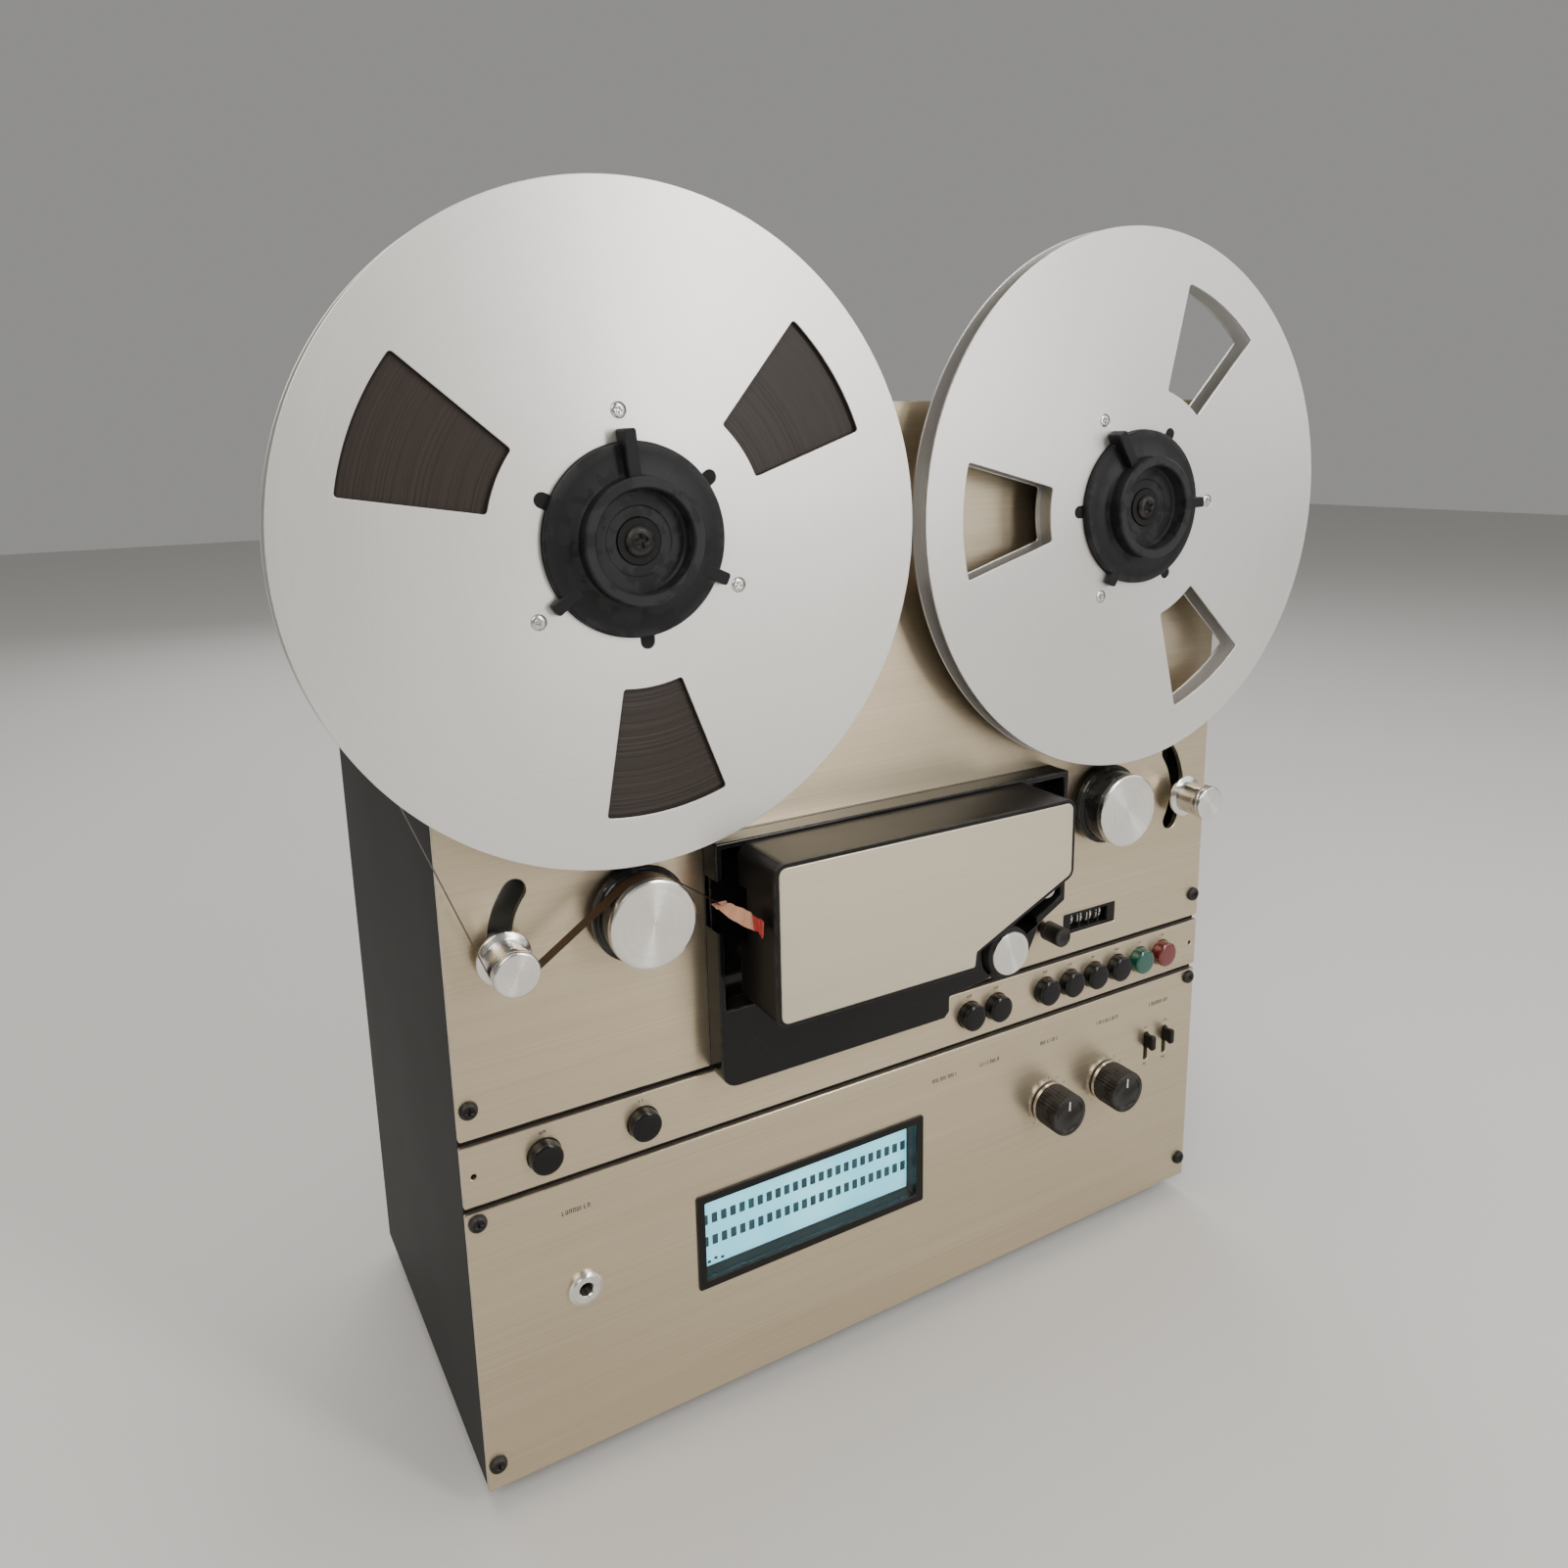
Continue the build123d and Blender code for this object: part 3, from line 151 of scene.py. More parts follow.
# Shader groups
def makeStraightBrush():
    # long fine scratches along X, with broader soft streaks over them
    tree, into, out = newGroup("straightBrush", {"Along": 6.0, "Across": 1400.0, "Streak": 60.0},
                               ("Tone", "Height"))
    x, y, z = splitPlace(tree)
    streakAlong, fineShare = 1.5, 0.65
    results = []
    for along, across in ((into.outputs["Along"], into.outputs["Across"]),
                          (streakAlong, into.outputs["Streak"])):
        parts = [mathNode(tree, "MULTIPLY", *pair) for pair in ((x, along), (y, across), (z, across))]
        results.append(joinedNoise(tree, parts, 2.0))
    tree.links.new(shareTones(tree, *results, fineShare), out.inputs["Tone"])
    tree.links.new(results[0], out.inputs["Height"])
    return tree


def makeRoundBrush():
    # rings about the piece's own Y axis, as a lathe or a spinning brush leaves them
    tree, into, out = newGroup("roundBrush", {"Rings": 2200.0, "Spread": 2.0}, ("Tone", "Height"))
    x, y, z = splitPlace(tree)
    square = mathNode(tree, "ADD", mathNode(tree, "MULTIPLY", x, x), mathNode(tree, "MULTIPLY", z, z))
    radius = mathNode(tree, "SQRT", square)
    nearAxis = mathNode(tree, "ADD", radius, 0.0001)
    parts = [mathNode(tree, "MULTIPLY", radius, into.outputs["Rings"])]
    for side in (x, z):
        turn = mathNode(tree, "DIVIDE", side, nearAxis)
        parts.append(mathNode(tree, "MULTIPLY", turn, into.outputs["Spread"]))
    tone = joinedNoise(tree, parts, 3.0)
    for socket in ("Tone", "Height"):
        tree.links.new(tone, out.inputs[socket])
    return tree


def makeGrain():
    # fine pitted or leathery grain for paint, rubber and moulded plastic
    tree, into, out = newGroup("fineGrain", {"Scale": 900.0, "Patch": 25.0}, ("Tone", "Height", "Patches"))
    fine, broad = objectNoise(tree, Detail=2.0), objectNoise(tree, Detail=4.0)
    for noise, scale, result in ((fine, "Scale", "Height"), (broad, "Patch", "Patches")):
        tree.links.new(into.outputs[scale], noise.inputs["Scale"])
        tree.links.new(noise.outputs[0], out.inputs[result])
    tree.links.new(shareTones(tree, fine.outputs[0], broad.outputs[0], 0.5), out.inputs["Tone"])
    return tree


def makeRimWear():
    # worn rims: the mesh marks its edges in rimWear, and noise breaks the mark up
    tree, into, out = newGroup("rimWearMask", {"Amount": 0.6, "Scale": 120.0}, ("Mask",))
    rim = addNode(tree, "ShaderNodeAttribute", attribute_name="rimWear")
    noise = objectNoise(tree, Detail=4.0)
    tree.links.new(into.outputs["Scale"], noise.inputs["Scale"])
    wearStart, wearGain = 0.47, 0.6
    broken = mathNode(tree, "GREATER_THAN", noise.outputs[0], wearStart)
    soft = mathNode(tree, "MULTIPLY", mathNode(tree, "ADD", broken, noise.outputs[0]), wearGain)
    marked = mathNode(tree, "MULTIPLY", rim.outputs["Fac"], soft)
    clampInto(tree, mathNode(tree, "MULTIPLY", marked, into.outputs["Amount"]), out.inputs["Mask"])
    return tree


def makeDust():
    # thin dust that settles on faces that look up, and a few specks anywhere
    tree, into, out = newGroup("settledDust", {"Amount": 0.5, "Specks": 0.3}, ("Mask",))
    facing = tree.nodes.new("ShaderNodeSeparateXYZ")
    tree.links.new(tree.nodes.new("ShaderNodeNewGeometry").outputs["Normal"], facing.inputs[0])
    haze, speck = objectNoise(tree, Scale=45.0, Detail=5.0), objectNoise(tree, Scale=700.0, Detail=1.0)
    speckStart = 0.73
    upward = mathNode(tree, "MAXIMUM", facing.outputs[2], 0.0)
    upward = mathNode(tree, "MULTIPLY", upward, haze.outputs[0])
    settled = mathNode(tree, "MULTIPLY", upward, into.outputs["Amount"])
    dots = mathNode(tree, "GREATER_THAN", speck.outputs[0], speckStart)
    spots = mathNode(tree, "MULTIPLY", dots, into.outputs["Specks"])
    clampInto(tree, mathNode(tree, "ADD", settled, spots), out.inputs["Mask"])
    return tree


straightBrush = makeStraightBrush()
roundBrush = makeRoundBrush()
fineGrain = makeGrain()
rimWearMask = makeRimWear()
settledDust = makeDust()


def placeGroup(tree, group, **values):
    node = tree.nodes.new("ShaderNodeGroup")
    node.node_tree = group
    for name, value in values.items():
        node.inputs[name].default_value = value
    return node


def newFinish(name):
    material = bpy.data.materials.new(name)
    material.use_nodes = True
    tree = material.node_tree
    return material, tree, tree.nodes["Principled BSDF"]


def addBump(tree, shader, height, strength, distance):
    bump = addNode(tree, "ShaderNodeBump", Strength=strength, Distance=distance)
    tree.links.new(height, bump.inputs["Height"])
    tree.links.new(bump.outputs[0], shader.inputs["Normal"])


def setRoughness(tree, shader, source, low, high):
    spread = addNode(tree, "ShaderNodeMapRange", To_Min=low, To_Max=high)
    tree.links.new(source, spread.inputs[0])
    tree.links.new(spread.outputs[0], shader.inputs["Roughness"])


def brushedMetal(name, look):
    # metal with straight brushing along X, or with rings about the piece's own axis
    material, tree, shader = newFinish(name)
    if look["round"]:
        brush = placeGroup(tree, roundBrush, Rings=look["fine"], Spread=look["spread"])
        direction = addNode(tree, "ShaderNodeTangent", direction_type="RADIAL", axis="Y").outputs[0]
        shader.inputs["Anisotropic Rotation"].default_value = 0.25
    else:
        brush = placeGroup(tree, straightBrush, Along=look["spread"], Across=look["fine"],
                           Streak=look["streak"])
        direction = addNode(tree, "ShaderNodeCombineXYZ", Z=1.0).outputs[0]
    wear = placeGroup(tree, rimWearMask, Amount=look["wear"])
    dust = placeGroup(tree, settledDust, Amount=look["dust"], Specks=look["dust"] * 0.4)
    base = mixTones(tree, brush.outputs["Tone"], look["dark"], look["light"])
    worn = mixTones(tree, wear.outputs[0], base, look["rim"])
    dusty = mixTones(tree, dust.outputs[0], worn, (0.55, 0.52, 0.47))
    tree.links.new(dusty, shader.inputs["Base Color"])
    shader.inputs["Metallic"].default_value = look["metal"]
    shader.inputs["Anisotropic"].default_value = look["grainPull"]
    tree.links.new(direction, shader.inputs["Tangent"])
    setRoughness(tree, shader, brush.outputs["Tone"], *look["rough"])
    addBump(tree, shader, brush.outputs["Height"], look["bump"], 0.0002)
    return material


def mouldedFinish(name, look):
    # paint, plastic or rubber with grain, worn rims and a little dust
    material, tree, shader = newFinish(name)
    grain = placeGroup(tree, fineGrain, Scale=look["fine"], Patch=look["patch"])
    wear = placeGroup(tree, rimWearMask, Amount=look["wear"])
    dust = placeGroup(tree, settledDust, Amount=look["dust"], Specks=look["dust"] * 0.5)
    base = mixTones(tree, grain.outputs["Tone"], look["dark"], look["light"])
    worn = mixTones(tree, wear.outputs[0], base, look["rim"])
    dusty = mixTones(tree, dust.outputs[0], worn, (0.32, 0.30, 0.27))
    tree.links.new(dusty, shader.inputs["Base Color"])
    shader.inputs["Metallic"].default_value = look.get("metal", 0.0)
    shader.inputs["Coat Weight"].default_value = look.get("coat", 0.0)
    shader.inputs["Coat Roughness"].default_value = 0.05
    shader.inputs["Specular IOR Level"].default_value = look.get("shine", 0.5)
    setRoughness(tree, shader, grain.outputs["Patches"], *look["rough"])
    addBump(tree, shader, grain.outputs["Height"], look["bump"], look.get("depth", 0.0001))
    return material


metalLooks = {
    "champagnePanel": {"round": False, "dark": (0.43, 0.355, 0.245), "light": (0.64, 0.545, 0.395),
                       "rim": (0.78, 0.72, 0.61), "fine": 1500.0, "spread": 7.0, "streak": 90.0,
                       "metal": 0.92, "rough": (0.25, 0.39), "grainPull": 0.65, "bump": 0.18,
                       "wear": 0.35, "dust": 0.10},
    "coverPlateSatin": {"round": False, "dark": (0.50, 0.435, 0.33), "light": (0.61, 0.54, 0.42),
                        "rim": (0.80, 0.78, 0.72), "fine": 1700.0, "spread": 12.0, "streak": 40.0,
                        "metal": 0.8, "rough": (0.34, 0.44), "grainPull": 0.35, "bump": 0.10,
                        "wear": 0.4, "dust": 0.06},
    "reelSatin": {"round": True, "dark": (0.58, 0.565, 0.54), "light": (0.67, 0.655, 0.63),
                  "rim": (0.82, 0.81, 0.79), "fine": 2400.0, "spread": 1.2,
                  "metal": 0.8, "rough": (0.33, 0.42), "grainPull": 0.3, "bump": 0.07,
                  "wear": 0.5, "dust": 0.06},
    "turnedCap": {"round": True, "dark": (0.60, 0.58, 0.54), "light": (0.86, 0.84, 0.80),
                  "rim": (0.92, 0.91, 0.88), "fine": 2600.0, "spread": 0.5,
                  "metal": 1.0, "rough": (0.18, 0.27), "grainPull": 0.9, "bump": 0.12,
                  "wear": 0.3, "dust": 0.02},
    "groundSteel": {"round": True, "dark": (0.42, 0.42, 0.41), "light": (0.62, 0.62, 0.60),
                    "rim": (0.75, 0.75, 0.74), "fine": 3000.0, "spread": 0.5,
                    "metal": 1.0, "rough": (0.16, 0.28), "grainPull": 0.5, "bump": 0.15,
                    "wear": 0.3, "dust": 0.05},
    "zincPlate": {"round": False, "dark": (0.34, 0.35, 0.34), "light": (0.52, 0.52, 0.50),
                  "rim": (0.66, 0.66, 0.64), "fine": 500.0, "spread": 90.0, "streak": 60.0,
                  "metal": 0.9, "rough": (0.32, 0.5), "grainPull": 0.1, "bump": 0.12,
                  "wear": 0.4, "dust": 0.2},
}
mouldedLooks = {
    "cabinetEnamel": {"dark": (0.003, 0.003, 0.003), "light": (0.007, 0.007, 0.0065),
                      "rim": (0.05, 0.05, 0.045), "fine": 1100.0, "patch": 14.0, "rough": (0.46, 0.52),
                      "bump": 0.16, "wear": 0.35, "dust": 0.03, "shine": 0.08},
    "frameBlack": {"dark": (0.006, 0.006, 0.006), "light": (0.016, 0.016, 0.016),
                   "rim": (0.05, 0.05, 0.05), "fine": 700.0, "patch": 20.0, "rough": (0.5, 0.7),
                   "bump": 0.15, "wear": 0.2, "dust": 0.08, "shine": 0.12},
    "hubPlastic": {"dark": (0.004, 0.004, 0.005), "light": (0.011, 0.011, 0.012),
                   "rim": (0.045, 0.045, 0.047), "fine": 1300.0, "patch": 30.0, "rough": (0.40, 0.55),
                   "bump": 0.10, "wear": 0.35, "dust": 0.03, "shine": 0.16},
    "glossBlack": {"dark": (0.003, 0.003, 0.003), "light": (0.008, 0.008, 0.008),
                   "rim": (0.09, 0.09, 0.085), "fine": 500.0, "patch": 18.0, "rough": (0.10, 0.22),
                   "bump": 0.03, "wear": 0.3, "dust": 0.05, "coat": 0.12, "shine": 0.16},
    "satinBlack": {"dark": (0.005, 0.0045, 0.004), "light": (0.012, 0.011, 0.010),
                   "rim": (0.09, 0.085, 0.08), "fine": 1200.0, "patch": 18.0, "rough": (0.28, 0.42),
                   "bump": 0.10, "wear": 0.3, "dust": 0.05, "shine": 0.16},
    "tyreRubber": {"dark": (0.012, 0.011, 0.011), "light": (0.03, 0.028, 0.027),
                   "rim": (0.05, 0.05, 0.05), "fine": 900.0, "patch": 60.0, "rough": (0.6, 0.8),
                   "bump": 0.2, "wear": 0.2, "dust": 0.08, "shine": 0.15},
    "buttonGreen": {"dark": (0.002, 0.040, 0.028), "light": (0.004, 0.085, 0.060),
                    "rim": (0.03, 0.2, 0.14), "fine": 600.0, "patch": 60.0, "rough": (0.10, 0.2),
                    "bump": 0.02, "wear": 0.1, "dust": 0.03, "coat": 0.4},
    "buttonRed": {"dark": (0.075, 0.005, 0.004), "light": (0.145, 0.010, 0.008),
                  "rim": (0.3, 0.06, 0.045), "fine": 600.0, "patch": 60.0, "rough": (0.10, 0.2),
                  "bump": 0.02, "wear": 0.1, "dust": 0.03, "coat": 0.4},
    "motorPaint": {"dark": (0.14, 0.14, 0.14), "light": (0.24, 0.24, 0.235),
                   "rim": (0.4, 0.4, 0.4), "fine": 500.0, "patch": 18.0, "rough": (0.35, 0.55),
                   "bump": 0.12, "wear": 0.4, "dust": 0.25},
    "boardLaminate": {"dark": (0.02, 0.10, 0.04), "light": (0.05, 0.17, 0.07),
                      "rim": (0.3, 0.3, 0.2), "fine": 260.0, "patch": 90.0, "rough": (0.35, 0.55),
                      "bump": 0.15, "wear": 0.2, "dust": 0.25},
    "coreIron": {"dark": (0.06, 0.05, 0.045), "light": (0.13, 0.11, 0.10),
                 "rim": (0.2, 0.18, 0.16), "fine": 400.0, "patch": 40.0, "rough": (0.45, 0.7),
                 "bump": 0.25, "wear": 0.3, "dust": 0.3},
    "legendInk": {"dark": (0.03, 0.027, 0.024), "light": (0.06, 0.055, 0.05),
                  "rim": (0.16, 0.15, 0.13), "fine": 900.0, "patch": 200.0, "rough": (0.5, 0.6),
                  "bump": 0.02, "wear": 0.0, "dust": 0.0},
    "digitWhite": {"dark": (0.62, 0.60, 0.55), "light": (0.78, 0.76, 0.70),
                   "rim": (0.7, 0.7, 0.7), "fine": 900.0, "patch": 200.0, "rough": (0.5, 0.6),
                   "bump": 0.02, "wear": 0.0, "dust": 0.0},
}
finishes = {name: brushedMetal(name, look) for name, look in metalLooks.items()}
finishes.update({name: mouldedFinish(name, look) for name, look in mouldedLooks.items()})


def makeTapeOxide():
    # wound tape seen edge-on: fine rings whose brown drifts from turn to turn
    material, tree, shader = newFinish("tapeOxide")
    rings = placeGroup(tree, roundBrush, Rings=2600.0, Spread=0.4)
    bands = placeGroup(tree, roundBrush, Rings=240.0, Spread=0.7)
    base = mixTones(tree, rings.outputs["Tone"], (0.011, 0.008, 0.006), (0.028, 0.020, 0.016))
    banded = mixTones(tree, mathNode(tree, "MULTIPLY", bands.outputs["Tone"], 0.5), base,
                      (0.040, 0.030, 0.025))
    tree.links.new(banded, shader.inputs["Base Color"])
    shader.inputs["Specular IOR Level"].default_value = 0.22
    shader.inputs["Anisotropic"].default_value = 0.6
    tangent = addNode(tree, "ShaderNodeTangent", direction_type="RADIAL", axis="Y")
    tree.links.new(tangent.outputs[0], shader.inputs["Tangent"])
    shader.inputs["Anisotropic Rotation"].default_value = 0.25
    setRoughness(tree, shader, rings.outputs["Tone"], 0.30, 0.48)
    addBump(tree, shader, rings.outputs["Height"], 0.35, 0.0002)
    return material


def makeThreadedTape():
    # a single run of tape: glossy brown oxide with a faint fine grain
    material, tree, shader = newFinish("threadedTape")
    grain = placeGroup(tree, fineGrain, Scale=1500.0, Patch=60.0)
    base = mixTones(tree, grain.outputs["Tone"], (0.030, 0.016, 0.009), (0.075, 0.042, 0.022))
    tree.links.new(base, shader.inputs["Base Color"])
    shader.inputs["Specular IOR Level"].default_value = 0.08
    setRoughness(tree, shader, grain.outputs["Patches"], 0.30, 0.45)
    addBump(tree, shader, grain.outputs["Height"], 0.05, 0.0001)
    return material


def makeLeaderTail():
    # faded pink leader that ends in a red tip, with crumples and a fibrous surface
    material, tree, shader = newFinish("leaderTail")
    grain = placeGroup(tree, fineGrain, Scale=1100.0, Patch=220.0)
    mark = addNode(tree, "ShaderNodeAttribute", attribute_name="redTip")
    faded = mixTones(tree, grain.outputs["Tone"], (0.52, 0.21, 0.12), (0.82, 0.47, 0.32))
    tip = mixTones(tree, grain.outputs["Tone"], (0.28, 0.012, 0.012), (0.55, 0.05, 0.04))
    tree.links.new(mixTones(tree, mark.outputs["Fac"], faded, tip), shader.inputs["Base Color"])
    setRoughness(tree, shader, grain.outputs["Patches"], 0.45, 0.7)
    addBump(tree, shader, grain.outputs["Height"], 0.3, 0.0003)
    return material


def makeMeterGlow():
    # backlit scale: cyan that is brighter in soft patches
    material, tree, shader = newFinish("meterGlow")
    haze = objectNoise(tree, Scale=28.0, Detail=3.0)
    lit = mixTones(tree, haze.outputs[0], (0.10, 0.55, 0.75), (0.45, 0.92, 1.0))
    tree.links.new(lit, shader.inputs["Base Color"])
    tree.links.new(lit, shader.inputs["Emission Color"])
    shader.inputs["Emission Strength"].default_value = 1.1
    shader.inputs["Roughness"].default_value = 0.4
    return material


def makeMeterDark():
    # unlit cells and marks over the glow
    material, tree, shader = newFinish("meterDark")
    grain = placeGroup(tree, fineGrain, Scale=1300.0, Patch=90.0)
    base = mixTones(tree, grain.outputs["Tone"], (0.004, 0.05, 0.07), (0.01, 0.09, 0.12))
    tree.links.new(base, shader.inputs["Base Color"])
    setRoughness(tree, shader, grain.outputs["Patches"], 0.3, 0.5)
    addBump(tree, shader, grain.outputs["Height"], 0.03, 0.0001)
    return material


def makeWindowGlass():
    material, tree, shader = newFinish("windowGlass")
    grain = placeGroup(tree, fineGrain, Scale=300.0, Patch=30.0)
    shader.inputs["Base Color"].default_value = (0.9, 0.97, 0.97, 1.0)
    shader.inputs["Transmission Weight"].default_value = 1.0
    shader.inputs["IOR"].default_value = 1.25
    setRoughness(tree, shader, grain.outputs["Patches"], 0.02, 0.09)
    return material


finishes["tapeOxide"] = makeTapeOxide()
finishes["threadedTape"] = makeThreadedTape()
finishes["leaderTail"] = makeLeaderTail()
finishes["meterGlow"] = makeMeterGlow()
finishes["meterDark"] = makeMeterDark()
finishes["windowGlass"] = makeWindowGlass()
print("stage: finishes made,", len(finishes))


# Mesh tools
def linkPiece(name, data):
    piece = bpy.data.objects.new(name, data)
    bpy.context.scene.collection.objects.link(piece)
    return piece


def markPoints(mesh, label, values):
    mesh.attributes.new(label, "FLOAT", "POINT").data.foreach_set("value", values)


def softenMesh(mesh, sharp, turnOut=False):
    # smooth faces, with a crisp edge wherever two of them fold by more than sharp degrees
    bm = bmesh.new()
    bm.from_mesh(mesh)
    if turnOut:
        bmesh.ops.recalc_face_normals(bm, faces=bm.faces)
    for face in bm.faces:
        face.smooth = True
    for edge in bm.edges:
        if len(edge.link_faces) == 2 and edge.calc_face_angle(0.0) > math.radians(sharp):
            edge.smooth = False
    bm.to_mesh(mesh)
    bm.free()


def settleMesh(bm, name):
    # turns the faces outward and makes a mesh of them
    bmesh.ops.recalc_face_normals(bm, faces=bm.faces)
    mesh = bpy.data.meshes.new(name)
    bm.to_mesh(mesh)
    bm.free()
    return mesh


def handOver(piece, body, stands=()):
    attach(piece, body)
    if stands:
        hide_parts(*stands)
    return piece


def dressMesh(name, mesh, rim, finish, place, body, stands=(), sharp=30.0):
    # marks worn rims, sets which edges stay crisp, and hands the piece to its body
    markPoints(mesh, "rimWear", rim)
    softenMesh(mesh, sharp)
    mesh.materials.append(finishes[finish])
    piece = linkPiece(name, mesh)
    piece.location = place
    return handOver(piece, body, stands)


def signedArea(loop):
    return sum(a[0] * b[1] - b[0] * a[1] for a, b in zip(loop, loop[1:] + loop[:1])) / 2


def inset(loop, amount):
    # moves each corner of a loop to its left by amount, keeping the sides parallel
    moved = []
    count = len(loop)
    for i in range(count):
        before, here, after = loop[i - 1], loop[i], loop[(i + 1) % count]
        d0 = Vector((here[0] - before[0], here[1] - before[1]))
        d1 = Vector((after[0] - here[0], after[1] - here[1]))
        d0.normalize()
        d1.normalize()
        n0, n1 = Vector((-d0.y, d0.x)), Vector((-d1.y, d1.x))
        reach = amount / max(0.25, 1 + n0.dot(n1))
        moved.append((here[0] + (n0.x + n1.x) * reach, here[1] + (n0.y + n1.y) * reach))
    return moved


def tidyLoop(loop):
    return [p for i, p in enumerate(loop) if math.dist(p, loop[i - 1]) > 1e-6]


deepWall, wornBand = 8 * mm, 0.8 * mm


def plateMesh(name, loops, front, back, edge, origin=(0.0, 0.0, 0.0), steps=2):
    # a flat plate with holes, whose front and back rims are rounded by edge
    oriented = []
    for index, loop in enumerate(loops):
        loop = tidyLoop(loop)
        wanted = signedArea(loop) > 0
        oriented.append(loop if wanted == (index == 0) else loop[::-1])
    verts, faces, rim = [], [], []
    angles = [math.radians(90 * k / steps) for k in range(steps + 1)]
    curve = [(edge * (1 - math.sin(a)), edge * (1 - math.cos(a))) for a in angles]
    levels = [(shift, front + drop, 1.0) for shift, drop in curve]
    levels += [(shift, back - drop, 1.0) for shift, drop in curve[::-1]]
    levels[0] = (*levels[0][:2], 0.0)
    levels[-1] = (*levels[-1][:2], 0.0)
    if back - front > deepWall:
        # a deep wall wears at its rims only, so two unworn rings stand just inside them
        levels[steps + 1:steps + 1] = [(0.0, front + edge + wornBand, 0.0), (0.0, back - edge - wornBand, 0.0)]
    ends = ([], [])
    for loop in oriented:
        rings = []
        for shift, y, worn in levels:
            ring = inset(loop, shift) if shift > 1e-9 else loop
            rings.append([len(verts) + k for k in range(len(ring))])
            verts += [(x - origin[0], y - origin[1], z - origin[2]) for x, z in ring]
            rim += [worn] * len(ring)
        for low, high in zip(rings, rings[1:]):
            for k in range(len(loop)):
                n = (k + 1) % len(loop)
                faces.append((low[k], low[n], high[n], high[k]))
        ends[0].append(rings[0])
        ends[1].append(rings[-1])
    for rings, flip in zip(ends, (False, True)):
        flat = [i for ring in rings for i in ring]
        outlines = [[Vector((verts[i][0], verts[i][2], 0.0)) for i in ring] for ring in rings]
        for tri in tessellate_polygon(outlines):
            ids = [flat[t] for t in tri]
            a, b, c = (verts[i] for i in ids)
            area = (b[0] - a[0]) * (c[2] - a[2]) - (c[0] - a[0]) * (b[2] - a[2])
            if abs(area) < 1e-14:
                continue
            if (area > 0) == flip:
                ids.reverse()
            faces.append(tuple(ids))
    mesh = bpy.data.meshes.new(name)
    mesh.from_pydata(verts, [], faces)
    mesh.validate()
    return mesh, rim


def addPlate(name, loops, front, back, edge, finish, body, slotName, stands=(), origin=(0, 0, 0), steps=2):
    mesh, rim = plateMesh(name, loops, front, back, edge, origin, steps)
    return dressMesh(name, mesh, rim, finish, origin, body, stands)


def turnedMesh(name, profile, count=96):
    # a profile of (radius, y) turned about the Y axis; a radius of 0 closes the end
    turns = [2 * math.pi * k / count for k in range(count)]
    verts, faces, rim, rings = [], [], [], []
    for r, y in profile:
        ring = [(r * math.cos(a), y, r * math.sin(a)) for a in turns] if r > 1e-7 else [(0.0, y, 0.0)]
        rings.append([len(verts) + k for k in range(len(ring))])
        verts += ring
        rim += [0.0] * len(ring)
    foldLimit = 0.35
    for i in range(1, len(profile) - 1):
        a = Vector((profile[i][0] - profile[i - 1][0], profile[i][1] - profile[i - 1][1]))
        b = Vector((profile[i + 1][0] - profile[i][0], profile[i + 1][1] - profile[i][1]))
        if a.length > 1e-9 and b.length > 1e-9 and a.angle(b) > foldLimit:
            for v in rings[i]:
                rim[v] = 1.0
    for low, high in zip(rings, rings[1:]):
        if len(low) == 1 and len(high) == 1:
            continue
        for k in range(count):
            n = (k + 1) % count
            if len(low) == 1:
                faces.append((low[0], high[k], high[n]))
            elif len(high) == 1:
                faces.append((low[k], high[0], low[n]))
            else:
                faces.append((low[k], high[k], high[n], low[n]))
    mesh = bpy.data.meshes.new(name)
    mesh.from_pydata(verts, [], faces)
    bm = bmesh.new()
    bm.from_mesh(mesh)
    bmesh.ops.recalc_face_normals(bm, faces=bm.faces)
    bm.to_mesh(mesh)
    bm.free()
    return mesh, rim


def addTurned(name, profile, centre, finish, body, stands=(), count=96, sharp=30.0):
    # centre is (x, z); the profile's y values are in the frame
    mesh, rim = turnedMesh(name, profile, count)
    return dressMesh(name, mesh, rim, finish, (centre[0], 0.0, centre[1]), body, stands, sharp)


def profileAt(y, points):
    # radii and depths in millimetres, with the depths counted from y
    return [(r * mm, y + depth * mm) for r, depth in points]


def turnedFace(radius, y, steps, first=1):
    # the fine rings that a lathe leaves on an end face, from radius in millimetres to the middle
    return [(radius * mm * (1 - k / steps), y + (0.05 * mm if k % 2 else 0.0)) for k in range(first, steps)]


def polar(radius, degrees, centre=(0.0, 0.0)):
    turn = math.radians(degrees)
    return centre[0] + radius * math.cos(turn), centre[1] + radius * math.sin(turn)


def arc(centre, radius, first, last, steps):
    return [polar(radius, first + (last - first) * k / steps, centre) for k in range(steps + 1)]


